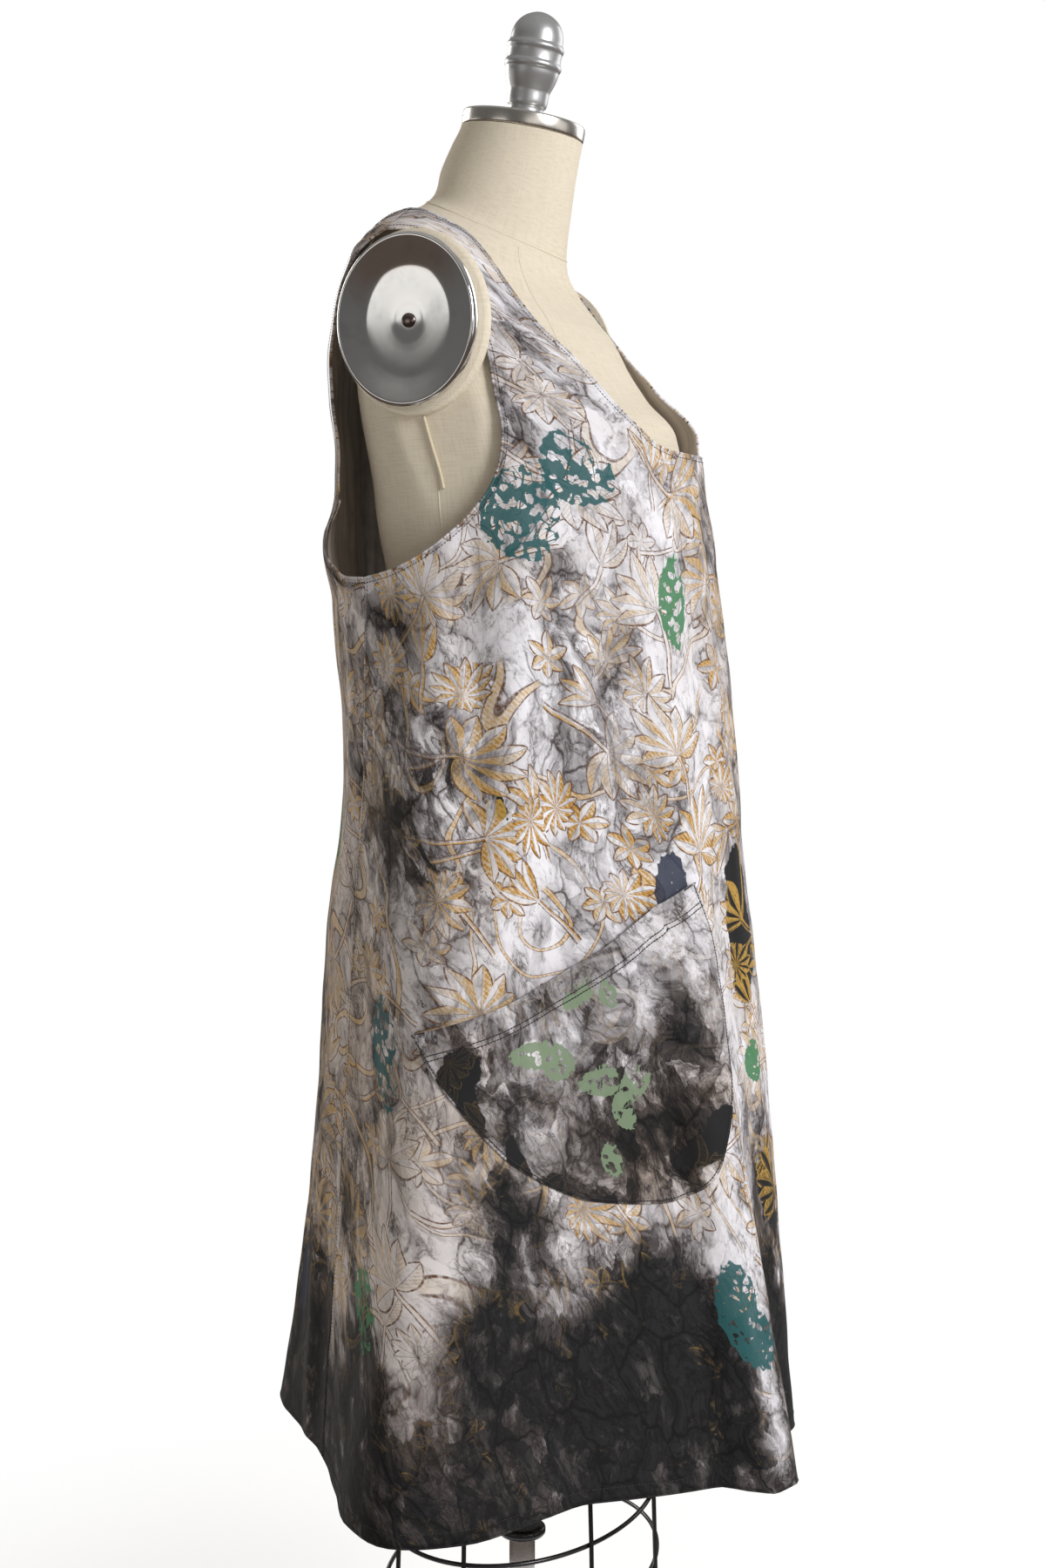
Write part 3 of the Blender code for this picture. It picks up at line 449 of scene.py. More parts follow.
# Soft ridges, and troughs where the last number is negative, along lines on the cloth:
# angle, height, end angle, end height, width, distance out
CREASES = (
    # Right side, under the bust and the armhole.
    (69, 1.235, 71, 0.9, 0.018, 0.009), (82, 1.225, 79, 0.93, 0.014, -0.0085),
    (92, 1.19, 91, 0.96, 0.014, 0.0035), (46, 1.2, 42, 0.93, 0.018, -0.0078),
    (37, 1.11, 37, 0.86, 0.016, -0.0045), (56, 1.18, 53, 0.88, 0.014, 0.005),
    (97, 1.15, 100, 0.86, 0.016, 0.0025),
    # Lower right side, down to the hem.
    (64, 0.64, 66, 0.415, 0.018, 0.0045), (72, 0.7, 74, 0.415, 0.014, -0.0035),
    (55, 0.62, 53, 0.43, 0.016, -0.0035), (45, 0.6, 43, 0.415, 0.015, 0.0035),
    (94, 0.8, 97, 0.415, 0.018, -0.004), (84, 0.6, 84, 0.415, 0.013, 0.0025),
    (62, 0.56, 70, 0.5, 0.006, -0.0022), (59, 0.5, 66, 0.455, 0.006, -0.0018),
    # Front, from the neckline down.
    (14, 1.29, 12, 1.05, 0.014, -0.004), (6, 1.27, 4, 0.9, 0.013, 0.003),
    (-4, 1.285, -6, 1, 0.013, -0.0035), (-16, 1.29, -18, 0.95, 0.015, 0.0035),
    (8, 0.9, 6, 0.415, 0.016, -0.004), (-10, 0.88, -12, 0.415, 0.017, 0.0035),
    (-22, 0.95, -24, 0.5, 0.016, -0.0035),
    # Left side, as on the right but not the same.
    (-44, 1.23, -41, 0.98, 0.018, -0.004), (-60, 1.235, -56, 0.94, 0.017, 0.0045),
    (-74, 1.2, -70, 0.9, 0.015, -0.0035), (-86, 1.19, -82, 0.95, 0.014, 0.003),
    (-38, 0.8, -36, 0.415, 0.017, 0.004), (-52, 0.76, -50, 0.415, 0.016, -0.0035),
    (-66, 0.7, -66, 0.415, 0.018, 0.0035), (-92, 0.82, -95, 0.415, 0.017, -0.0035),
    # Back.
    (126, 1.18, 130, 0.9, 0.014, -0.0035), (138, 1.23, 146, 0.96, 0.015, 0.004),
    (160, 1.3, 158, 1.06, 0.016, -0.003), (180, 1.24, 178, 0.98, 0.015, 0.003),
    (202, 1.29, 204, 1.04, 0.016, -0.0035), (222, 1.23, 214, 0.96, 0.015, 0.004),
    (236, 1.18, 232, 0.88, 0.014, -0.003), (124, 0.76, 128, 0.415, 0.016, 0.004),
    (143, 0.8, 146, 0.415, 0.017, -0.0045), (171, 0.9, 172, 0.415, 0.018, -0.004),
    (190, 0.85, 189, 0.415, 0.017, 0.0035), (217, 0.82, 214, 0.415, 0.017, -0.0045),
    (235, 0.76, 230, 0.415, 0.016, 0.0035),
    # Puckers where the straps and the armholes pull.
    (80, 1.5, 66, 1.47, 0.006, -0.002), (86, 1.51, 74, 1.492, 0.005, 0.0015),
    (104, 1.508, 100, 1.478, 0.007, -0.0025), (110, 1.49, 120, 1.46, 0.008, 0.0025),
    (57, 1.43, 50, 1.4, 0.008, -0.002), (-80, 1.5, -68, 1.47, 0.006, -0.002),
    (-104, 1.506, -101, 1.476, 0.007, -0.0025), (127, 1.262, 138, 1.24, 0.007, -0.003),
    (124, 1.205, 132, 1.18, 0.007, -0.0022), (233, 1.262, 222, 1.24, 0.007, -0.003),
)


def creasing(angle: Array, height: Array) -> Array:
    """Return how far the creases lift the cloth, with a faint overall unevenness.

    Args:
        angle: The angle of each place.
        height: The height of each place.

    Returns:
        The distance out at each place.
    """
    out = np.zeros_like(height)
    for start, level, end, end_level, width, lift in CREASES:
        span = turned_apart(end, start) * METRES_PER_DEGREE
        rise = end_level - level
        x = turned_apart(angle, turned_apart(start, 0.0)) * METRES_PER_DEGREE
        y = height - level
        length = math.hypot(span, rise)
        share = (x * span + y * rise) / length**2
        side = (x * rise - y * span) / length
        ends = np.clip(np.minimum(share + 0.12, 1.12 - share) / 0.34, 0.0, 1.0)
        wander = 0.25 * width * np.sin(share * 7.0 + start)
        out += lift * eased(ends) * np.exp(-(((side + wander) / width) ** 2))
    turn = np.radians(turned_apart(angle, 0.0))
    out += 0.0006 * np.sin(9.0 * turn + 21.0 * height) * np.sin(34.0 * height - 5.0 * turn)
    out += 0.0004 * np.sin(23.0 * turn - 40.0 * height + 1.3) * np.sin(61.0 * height + 11.0 * turn)
    return out


# --- Meshes ---

@dataclass
class Patch:
    """A grid of places on the cloth: columns across, rows along."""

    angle: Array
    height: Array
    uv: Array = field(default_factory=lambda: np.zeros((0, 0, 2)))

    def points(self, surface: Surface) -> Array:
        """Return the grid's points on a surface, shaped columns x rows x 3."""
        flat = surface(self.angle.ravel(), self.height.ravel())
        return flat.reshape(*self.angle.shape, 3)


def grid_quads(columns: int, rows: int, first: int = 0) -> Array:
    """Return the quads of a grid of points, columns x rows, that starts at a vertex."""
    index = first + np.arange(columns * rows).reshape(columns, rows)
    corners = (index[:-1, :-1], index[:-1, 1:], index[1:, 1:], index[1:, :-1])
    return np.stack(corners, axis=-1).reshape(-1, 4)


def running_length(points: Array, axis: int) -> Array:
    """Return the length run along one axis of a grid of points.

    Args:
        points: The grid.
        axis: 0 to run across it, 1 to run along.

    Returns:
        The length at each point, 0 at the start.
    """
    steps = np.linalg.norm(np.diff(points, axis=axis), axis=-1)
    run = np.cumsum(steps, axis=axis)
    shape = list(run.shape)
    shape[axis] = 1
    return np.concatenate((np.zeros(shape), run), axis=axis)


def make_piece(
    name: str,
    points: Array,
    faces: Sequence[Sequence[int]],
    materials: Sequence[Material],
    uvs: Optional[Array] = None,
    masks: Optional[dict[str, Array]] = None,
    slots: Optional[Array] = None,
    flat_angle: Optional[float] = None,
) -> Piece:
    """Make a smooth mesh object whose place is in its mesh.

    Args:
        name: The piece's name.
        points: Its vertices.
        faces: Its faces, facing outwards.
        materials: Its material slots.
        uvs: A UV for each vertex.
        masks: Named values for each vertex, read by its materials.
        slots: The material slot of each face.
        flat_angle: Edges sharper than this many degrees stay sharp.

    Returns:
        The object.
    """
    mesh = bpy.data.meshes.new(name)
    mesh.from_pydata(points.tolist(), [], [list(map(int, face)) for face in faces])
    for material in materials:
        mesh.materials.append(material)
    if uvs is not None:
        corner = np.empty(len(mesh.loops), dtype=np.int64)
        mesh.loops.foreach_get("vertex_index", corner)
        layer = mesh.uv_layers.new(name="cloth")
        layer.data.foreach_set("uv", uvs[corner].astype(np.float32).ravel())
    for mask, values in (masks or {}).items():
        attribute = mesh.attributes.new(mask, "FLOAT", "POINT")
        attribute.data.foreach_set("value", values.astype(np.float32))
    if slots is not None:
        mesh.polygons.foreach_set("material_index", slots.astype(np.int32))
    mesh.shade_smooth()
    if flat_angle is not None:
        mesh.set_sharp_from_angle(angle=math.radians(flat_angle))
    piece = bpy.data.objects.new(name, mesh)
    bpy.context.scene.collection.objects.link(piece)
    return piece


def ring_faces(index: Array, ends: bool = True) -> list:
    """Return the faces between rings of vertices, and those at the two ends.

    Args:
        index: The vertices, one row for each ring.
        ends: Whether the two ends are closed.

    Returns:
        The faces.
    """
    after = np.roll(index, -1, axis=1)
    walls = np.stack((index[:-1], after[:-1], after[1:], index[1:]), axis=-1).reshape(-1, 4).tolist()
    return walls + [index[0, ::-1].tolist(), index[-1].tolist()] if ends else walls


def loft(
    name: str,
    rings: Array,
    material: Material,
    flat_angle: float = 50.0,
    uvs: Optional[Array] = None,
) -> Piece:
    """Make a solid lofted through rings of points, with a flat end at each side.

    Args:
        name: The piece's name.
        rings: Its rings, levels x sides x 3.
        material: Its material.
        flat_angle: Edges sharper than this many degrees stay sharp.
        uvs: A UV for each vertex.

    Returns:
        The piece.
    """
    faces = ring_faces(np.arange(rings[..., 0].size).reshape(rings.shape[:2]))
    return make_piece(name, rings.reshape(-1, 3), faces, [material], uvs=uvs, flat_angle=flat_angle)


def turned_rings(stations: Array, sides: int, place: Matrix) -> Array:
    """Return rings about the Z axis, placed by a matrix.

    Args:
        stations: The height and the radius of each ring.
        sides: Points in a ring.
        place: Where the axis goes.

    Returns:
        The rings.
    """
    turn = 2.0 * math.pi * np.arange(sides) / sides
    height, radius = stations[:, 0, None], stations[:, 1, None]
    rings = np.stack((
        radius * np.cos(turn), radius * np.sin(turn), np.broadcast_to(height, (len(stations), sides)),
    ), axis=-1)
    turning = np.array(place.to_3x3())
    return rings @ turning.T + np.array(place.translation)


def rounded(stations: Array, smooth: int = 2) -> Array:
    """Return a profile with its corners cut round a few times.

    Args:
        stations: The profile's points.
        smooth: How many times the corners are cut.

    Returns:
        The finer profile.
    """
    for _ in range(smooth):
        near = 0.75 * stations[:-1] + 0.25 * stations[1:]
        far = 0.25 * stations[:-1] + 0.75 * stations[1:]
        cut = np.stack((near, far), axis=1).reshape(-1, 2)
        stations = np.vstack((stations[:1], cut, stations[-1:]))
    return stations


def path_frames(path: Array, closed: bool = False) -> tuple[Array, Array]:
    """Return two steady directions across a path at each of its points.

    Args:
        path: Its points.
        closed: Whether its end joins its start.

    Returns:
        The two directions.
    """
    steps = np.roll(path, -1, axis=0) - np.roll(path, 1, axis=0) if closed else np.gradient(path, axis=0)
    tangent = unit(steps)
    side = np.empty_like(path)
    guess = np.cross(tangent[0], (0.31, 0.27, 0.91))
    side[0] = guess / np.linalg.norm(guess)
    for i in range(1, len(path)):
        carried = side[i - 1] - tangent[i] * np.dot(side[i - 1], tangent[i])
        side[i] = carried / np.linalg.norm(carried)
    return side, np.cross(tangent, side)


def tube(path: Array, radius: float, sides: int, closed: bool = False) -> tuple[Array, list]:
    """Return the vertices and faces of a round tube along a path.

    Args:
        path: Its middle line.
        radius: Its radius.
        sides: Points round it.
        closed: Whether its end joins its start.

    Returns:
        The vertices and the faces.
    """
    side, up = path_frames(path, closed)
    if closed:
        # The frame comes back turned; the turn is shared out along the path.
        end = side[-1]
        slip = math.atan2(float(np.dot(end, up[0])), float(np.dot(end, side[0])))
        share = -slip * np.arange(len(path)) / (len(path) - 1)
        side, up = (
            side * np.cos(share)[:, None] + up * np.sin(share)[:, None],
            up * np.cos(share)[:, None] - side * np.sin(share)[:, None],
        )
    turn = 2.0 * math.pi * np.arange(sides) / sides
    ring = side[:, None] * np.cos(turn)[:, None] + up[:, None] * np.sin(turn)[:, None]
    points = (path[:, None] + ring * radius).reshape(-1, 3)
    index = np.arange(len(path) * sides).reshape(-1, sides)
    if closed:
        index = np.vstack((index, index[:1]))
    return points, ring_faces(index, ends=not closed)


def joined(parts: Sequence[tuple[Array, list]]) -> tuple[Array, list]:
    """Return several sets of vertices and faces as one.

    Args:
        parts: The sets.

    Returns:
        All the vertices and all the faces.
    """
    points, faces, first = [], [], 0
    for part_points, part_faces in parts:
        points.append(part_points)
        faces += [[first + corner for corner in face] for face in part_faces]
        first += len(part_points)
    return np.vstack(points), faces


def resampled(path: Array, spacing: float) -> Array:
    """Return a path's points set evenly.

    Args:
        path: Its points.
        spacing: About how far apart the new ones lie.

    Returns:
        The new points.
    """
    run = running_length(path, 0)
    count = max(2, int(round(run[-1] / spacing)) + 1)
    at = np.linspace(0.0, run[-1], count)
    return np.stack([np.interp(at, run, path[:, axis]) for axis in range(3)], axis=-1)


# --- Node trees ---

def arithmetic(name: str, turned: bool = False) -> Callable[["Wire", "Value"], "Wire"]:
    """Return a method that adds one step of arithmetic.

    Args:
        name: The node's operation.
        turned: Whether the two sides change places.

    Returns:
        The method.
    """
    def step(self: "Wire", other: "Value" = 0.0) -> "Wire":
        """Add the step's node and return its result."""
        first, second = (other, self) if turned else (self, other)
        return self.graph.step(name, first, second)

    return step


class Wire:
    """A node's output. Each sum, product or comparison of wires adds a node."""

    def __init__(self, graph: "Graph", socket: Socket) -> None:
        """Keep the graph and the socket."""
        self.graph, self.socket = graph, socket

    __add__, __radd__ = arithmetic("ADD"), arithmetic("ADD", turned=True)
    __sub__, __rsub__ = arithmetic("SUBTRACT"), arithmetic("SUBTRACT", turned=True)
    __mul__, __truediv__ = arithmetic("MULTIPLY"), arithmetic("DIVIDE")
    __gt__, __lt__ = arithmetic("GREATER_THAN"), arithmetic("LESS_THAN")
    __abs__ = arithmetic("ABSOLUTE")


Value = Union[Wire, Socket, float, str, tuple]


def is_vector(value: Value) -> bool:
    """Return whether a value is a vector or a colour."""
    return isinstance(value, tuple) or isinstance(value, Wire) and value.socket.type != "VALUE"


class Graph:
    """Adds nodes to a tree, one call for each, and links what is given to them."""

    def __init__(self, tree: Tree) -> None:
        """Keep the tree."""
        self.tree = tree

    def node(self, kind: str, inputs: Optional[dict] = None, **settings: object) -> bpy.types.Node:
        """Add a node.

        Args:
            kind: The node's type.
            inputs: A wire or a value for each named or numbered input.
            settings: The node's own settings.

        Returns:
            The node.
        """
        node = self.tree.nodes.new(kind)
        for setting, value in settings.items():
            setattr(node, setting, value)
        self.feed(node, inputs or {})
        return node

    def feed(self, node: bpy.types.Node, inputs: dict) -> None:
        """Link wires to a node's inputs and set its plain values.

        Args:
            node: The node.
            inputs: A wire or a value for each named or numbered input.
        """
        for key, value in inputs.items():
            value = value.socket if isinstance(value, Wire) else value
            if isinstance(value, Socket):
                self.tree.links.new(value, node.inputs[key])
            else:
                node.inputs[key].default_value = value

    def wires(self, kind: str, inputs: Optional[dict] = None, **settings: object) -> dict[str, Wire]:
        """Add a node and return all its outputs by name."""
        return {socket.name: Wire(self, socket) for socket in self.node(kind, inputs, **settings).outputs}

    def wire(self, kind: str, inputs: Optional[dict] = None, output: int = 0, **settings: object) -> Wire:
        """Add a node and return one of its outputs."""
        return Wire(self, self.node(kind, inputs, **settings).outputs[output])

    def group(self, tree: Tree, **inputs: Value) -> dict[str, Wire]:
        """Add a node group and return its outputs by name."""
        return self.wires("ShaderNodeGroup", inputs, node_tree=tree)

    def math(self, operation: str, a: Value, b: Value = 0.0) -> Wire:
        """Add a Math node and return its value."""
        return self.wire("ShaderNodeMath", {0: a, 1: b}, operation=operation)

    def step(self, operation: str, a: Value, b: Value) -> Wire:
        """Add one step of arithmetic on two values or two vectors, or scale a vector by a value.

        Args:
            operation: The node's operation.
            a: The first side.
            b: The second side.

        Returns:
            The result.
        """
        if not is_vector(a):
            return self.math(operation, a, b)
        if is_vector(b):
            return self.wire("ShaderNodeVectorMath", {0: a, 1: b}, operation=operation)
        return self.wire("ShaderNodeVectorMath", {0: a, "Scale": b}, operation="SCALE")

    def most(self, a: Value, b: Value) -> Wire:
        """Return the larger of two values."""
        return self.math("MAXIMUM", a, b)

    def least(self, a: Value, b: Value) -> Wire:
        """Return the smaller of two values."""
        return self.math("MINIMUM", a, b)

    @staticmethod
    def clamped(result: Wire) -> Wire:
        """Hold the last step's result between 0 and 1."""
        result.socket.node.use_clamp = True
        return result

    def length(self, vector: Value) -> Wire:
        """Return a vector's length."""
        return self.wire("ShaderNodeVectorMath", {0: vector}, 1, operation="LENGTH")

    def turned(self, vector: Value, angle: Value) -> Wire:
        """Return a vector turned about Z."""
        return self.wire("ShaderNodeVectorRotate", {"Vector": vector, "Angle": angle}, rotation_type="Z_AXIS")

    def ramp(self, value: Value, low: float, high: float, start: float = 0.0, end: float = 1.0) -> Wire:
        """Return a soft step from start to end as a value goes from low to high."""
        inputs = {"Value": value, "From Min": low, "From Max": high, "To Min": start, "To Max": end}
        return self.wire("ShaderNodeMapRange", inputs, interpolation_type="SMOOTHSTEP")

    def mix(self, share: Value, a: Value, b: Value, blend: str = "MIX") -> Wire:
        """Return a mix of two colours."""
        first, second = ((*colour, 1.0) if isinstance(colour, tuple) else colour for colour in (a, b))
        inputs = {0: share, 6: first, 7: second}
        return self.wire("ShaderNodeMix", inputs, 2, data_type="RGBA", blend_type=blend)

    def noise(self, vector: Value, scale: float, detail: float = 2.0, rough: float = 0.5,
              twist: float = 0.0, seed: float = 0.0, output: int = 0) -> Wire:
        """Add a Noise Texture; seed picks another part of the noise."""
        inputs = {"Vector": vector, "Scale": scale, "Detail": detail, "Roughness": rough,
                  "Distortion": twist, "W": seed}
        return self.wire("ShaderNodeTexNoise", inputs, output, noise_dimensions="4D")

    def wander(self, vector: Value, *noise: float, seed: float = 0.0) -> Wire:
        """Return a noise that leads about evenly in all directions."""
        return self.noise(vector, *noise, seed=seed, output=1) - (0.5, 0.5, 0.5)

    def cells(self, vector: Value, scale: Value, feature: str = "F1", jitter: float = 1.0) -> dict[str, Wire]:
        """Add a two-dimensional Voronoi Texture."""
        inputs = {"Vector": vector, "Scale": scale, "Randomness": jitter}
        return self.wires("ShaderNodeTexVoronoi", inputs, voronoi_dimensions="2D", feature=feature)

    def colours(self, value: Value, stops: Sequence[tuple[float, Colour]]) -> Wire:
        """Return the colour that a value has on a ramp.

        Args:
            value: The value.
            stops: Places on the ramp, rising, and the colour at each.

        Returns:
            The colour.
        """
        node = self.node("ShaderNodeValToRGB", {0: value})
        elements = node.color_ramp.elements
        for element, (position, colour) in zip(elements, (stops[0], stops[-1])):
            element.position, element.color = position, (*colour, 1.0)
        for position, colour in stops[1:-1]:
            elements.new(position).color = (*colour, 1.0)
        return Wire(self, node.outputs[0])

    def relief(self, height: Value, strength: float, distance: float) -> Wire:
        """Return the normal of a surface with a fine relief."""
        return self.wire("ShaderNodeBump", {"Height": height, "Strength": strength, "Distance": distance})

    def split(self, vector: Value, kind: str = "ShaderNodeSeparateXYZ") -> list[Wire]:
        """Return a vector's or a colour's three parts."""
        return list(self.wires(kind, {0: vector}).values())

    def mask(self, name: str) -> Wire:
        """Return one of the mesh's named values."""
        return self.wires("ShaderNodeAttribute", attribute_name=name)["Fac"]

    def cloth(self) -> Wire:
        """Return the flat cloth coordinates."""
        return self.wire("ShaderNodeUVMap", uv_map="cloth")

    def place(self) -> Wire:
        """Return the place in the object's own metres."""
        return self.wires("ShaderNodeTexCoord")["Object"]


class SocketKind(Enum):
    """The kinds of group socket."""

    VALUE = "NodeSocketFloat"
    VECTOR = "NodeSocketVector"


class ShaderGroup:
    """A shader node group with named inputs and outputs."""

    def __init__(self, name: str, vectors: str, values: str, outputs: dict[str, SocketKind]) -> None:
        """Make the tree, its sockets and its two end nodes.

        Args:
            name: The group's name.
            vectors: The names of its vector inputs.
            values: The names of its value inputs.
            outputs: Its outputs.
        """
        self.tree = bpy.data.node_groups.new(name, "ShaderNodeTree")
        kinds = {label: SocketKind.VECTOR for label in vectors.split()}
        kinds.update({label: SocketKind.VALUE for label in values.split()})
        for way, sockets in (("INPUT", kinds), ("OUTPUT", outputs)):
            for label, kind in sockets.items():
                self.tree.interface.new_socket(label, in_out=way, socket_type=kind.value)
        self.graph = Graph(self.tree)
        entry = self.graph.node("NodeGroupInput")
        self.given = [Wire(self.graph, entry.outputs[label]) for label in kinds]

    def give(self, **results: Wire) -> Tree:
        """Link the results to the outputs and return the tree."""
        self.graph.node("NodeGroupOutput", results)
        return self.tree


VALUE, VECTOR = SocketKind.VALUE, SocketKind.VECTOR


def crumple_dye_group() -> Tree:
    """Return the group for cloth dyed while crumpled: clouds, veins and dents.

    The dye pools in the folds, so it lies as soft feathery halos about a net of fine veins.

    Returns:
        The group.
    """
    made = ShaderGroup("crumple_dye", "Vector", "Tone", {"Cloud": VALUE, "Vein": VALUE, "Dent": VALUE})
    g = made.graph
    # On the front the tone holds a few painted highlights and painted shade along folds.
    at, tone = made.given
    bent = (at + g.wander(at, 8.0, 3.0) * 0.07) * (1.0, 0.62, 1.0)
    crinkled = bent + g.wander(bent, 48.0, 4.0, 0.6, seed=3.0) * 0.02

    broad = g.ramp(g.noise(bent, 7.0, 4.0, 0.58, seed=1.7), 0.42, 0.68)
    patchy = g.noise(crinkled, 30.0, 8.0, 0.78, seed=5.1)
    density = g.most(broad * 0.7 + tone, 0.0)
    pooled = g.most(tone, 0.0)

    facet = g.split(g.cells(crinkled, 72.0)["Color"], "ShaderNodeSeparateColor")[0]
    facet = (facet - 0.5) * (density * 0.4 + 0.07)
    drawn_out = g.noise(crinkled * (1.0, 0.2, 1.0), 75.0, 5.0, 0.66, seed=12.0)
    streak = g.ramp(abs(drawn_out - 0.5), 0.0, 0.035, 1.0, 0.0)
    big = g.cells(crinkled, 26.0, "DISTANCE_TO_EDGE")["Distance"]
    small = g.cells(crinkled + (0.37, 0.11, 0.0), 62.0, "DISTANCE_TO_EDGE")["Distance"]
    ridge = abs(g.noise(crinkled, 34.0, 6.0, 0.62, 0.4, seed=9.0) * 2.0 - 1.0)
    halo = g.ramp(big, 0.0, 0.42, 1.0, 0.0) * 0.55 + g.ramp(small, 0.0, 0.38, 1.0, 0.0) * 0.3
    halo = halo + g.ramp(ridge, 0.0, 0.42, 1.0, 0.0) * 0.45
    spread = (halo + 0.06) * (density * 0.32 + 0.05)
    blot = (patchy - 0.5) * (density * 1.45 + 0.52)
    cloud = g.clamped(spread + blot + pooled * pooled * 0.62 + facet + broad * 0.02)

    net = g.most(g.ramp(big, 0.0, 0.055, 1.0, 0.0), g.ramp(ridge, 0.0, 0.055, 1.0, 0.0) * 0.9)
    net = g.most(net, g.ramp(small, 0.0, 0.06, 1.0, 0.0) * 0.5)
    net = g.most(net, streak * g.ramp(density, 0.05, 0.55, 0.0, 0.7))
    vein = net * g.ramp(patchy + density * 0.2, 0.41, 0.63, 0.06, 1.0)
    return made.give(Cloud=cloud, Vein=vein, Dent=ridge * 0.55 + big * 0.9)


def scatter_group() -> Tree:
    """Return the group that scatters turned motifs.

    Returns:
        The group: each cell's own coordinates and a random pick.
    """
    made = ShaderGroup("motif_scatter", "Vector", "Scale Turn", {"Local": VECTOR, "Pick": VALUE})
    g = made.graph
    at, scale, turn = made.given
    cell = g.cells(at, scale, jitter=0.72)
    draw, pick, _ = g.split(cell["Color"], "ShaderNodeSeparateColor")
    local = g.turned((at - cell["Position"]) * scale, (draw - 0.5) * 4.4 + turn)
    return made.give(Local=local, Pick=pick)


def leaf_fan_group() -> Tree:
    """Return the group that draws a fan or a ring of pointed leaves on a bent stem.

    Its leaves spring from the local origin. Limit is how many lie each side of +Y.
    Line is the drawing, Body is 1 inside the shapes, and Shade darkens to one edge.

    Returns:
        The group.
    """
    made = ShaderGroup("leaf_fan", "Local", "Gap Limit Length Width Line Stem",
                       {"Line": VALUE, "Body": VALUE, "Shade": VALUE})
    g = made.graph
    local, gap, limit, length, width, line, tail = made.given
    x, y, _ = g.split(local)
    angle = g.math("ARCTAN2", x, y)
    index = g.least(g.most(g.math("ROUND", angle / gap), limit * -1.0), limit)
    off = angle - index * gap
    reach = g.length(local)
    along = reach * g.math("COSINE", off)
    share = along / (length * (1.0 - abs(index) * 0.09))
    side = reach * g.math("SINE", off) + share * share * (width * 0.35)
    inside_ends = (share > 0.06) * (share < 1.0)
    half = width * g.most(share * (1.0 - share) * 4.0, 0.0)
    flank = abs(side)
    rim = g.ramp(abs(flank - half) / line, 0.75, 1.3, 1.0, 0.0)
    rib = g.ramp(flank / line, 0.25, 0.75, 1.0, 0.0)
    body = (flank < half) * inside_ends
    ticks = g.ramp(g.math("SINE", (along - flank * 1.3) * 150.0), 0.7, 0.98) * 0.45
    lit_half = side > 0.0
    drawn = g.most(rim, body * g.most(rib * 0.7, ticks * lit_half)) * inside_ends
    edge_share = flank / g.most(half, 0.001)
    rounding = lit_half * g.ramp(edge_share, 0.0, 0.4, 0.45, 1.0)
    shade = g.most(rounding, g.ramp(edge_share, 0.45, 1.05, 0.0, 0.7)) * body

    # The stem runs down from the origin in a slow bend.
    bow = x + y * y * 0.3
    thick = line * 2.6
    flank = abs(bow)
    span = (y < 0.0) * (y > tail * -1.0)
    stem = (flank < thick) * span
    drawn = g.most(drawn, g.ramp(abs(flank - thick) / line, 0.5, 1.1, 1.0, 0.0) * span)
    return made.give(Line=drawn, Body=g.most(body, stem), Shade=g.most(shade, stem * (bow > 0.0)))


# cell offset, cells per metre, turn, lowest pick, highest pick, gap, limit, length, width, line, stem
MOTIFS = (
    ((0.37, 0.53, 0.0), 15.0, 0.2, 0.3, 2.0, 1.047, 3.0, 0.36, 0.085, 0.011, 0.0),
    ((0.91, 0.17, 0.0), 12.5, -0.4, -1.0, 0.75, 0.46, 1.0, 0.56, 0.08, 0.009, 0.55),
    ((0.57, 0.92, 0.0), 11.5, 0.9, 0.35, 2.0, 0.524, 6.0, 0.4, 0.062, 0.0075, 0.0),
    ((0.13, 0.31, 0.0), 8.6, 0.1, -1.0, 0.82, 0.52, 3.0, 0.46, 0.08, 0.0068, 0.6),
)


def botanical_group(scatter: Tree, fan: Tree) -> Tree:
    """Return the group that prints stems, leaves and blossoms over the cloth.

    Args:
        scatter: The group that scatters motifs.
        fan: The group that draws leaves.

    Returns:
        The group: fine lines, shaded ink, the shapes' insides and wear.
    """
    outputs = {"Line": VALUE, "Fill": VALUE, "Body": VALUE, "Worn": VALUE}
    made = ShaderGroup("botanical_print", "Vector", "", outputs)
    g = made.graph
    at, = made.given
    swayed = at + g.wander(at, 11.0, 2.0, 0.4, seed=21.0) * 0.04

    # Long wandering stems lie under everything: double lines beside levels of the noise.
    flow = g.noise(swayed, 5.0, 1.0, 0.4, seed=33.0)
    stem = abs(g.math("FRACT", flow * 13.0) - 0.5)
    gaps = g.ramp(g.noise(at, 9.0, 1.0, seed=37.0), 0.44, 0.5)
    line = g.ramp(abs(stem - 0.055), 0.006, 0.018, 1.0, 0.0) * gaps
    body = g.ramp(stem, 0.035, 0.055, 1.0, 0.0) * gaps
    fill = body * 0.7
    for offset, scale, turn, low, high, gap, limit, length, width, weight, tail in MOTIFS:
        cell = g.group(scatter, Vector=swayed + offset, Scale=scale, Turn=turn)
        leaf = g.group(fan, Local=cell["Local"], Gap=gap, Limit=limit, Length=length,
                       Width=width, Line=weight, Stem=tail)
        keep = (cell["Pick"] > low) * (cell["Pick"] < high)
        inside = leaf["Body"] * keep
        outside = 1.0 - inside
        line = g.most(line * outside, leaf["Line"] * keep)
        fill = g.most(fill * outside, leaf["Shade"] * keep)
        body = g.most(body, inside)

    worn = g.ramp(g.noise(at, 240.0, 3.0, 0.7, seed=41.0), 0.34, 0.6)
    press = g.ramp(g.noise(at, 9.0, 3.0, 0.6, seed=43.0), 0.38, 0.56)
    return made.give(Line=line, Fill=fill * (press * 0.85 + 0.25), Body=body, Worn=worn)


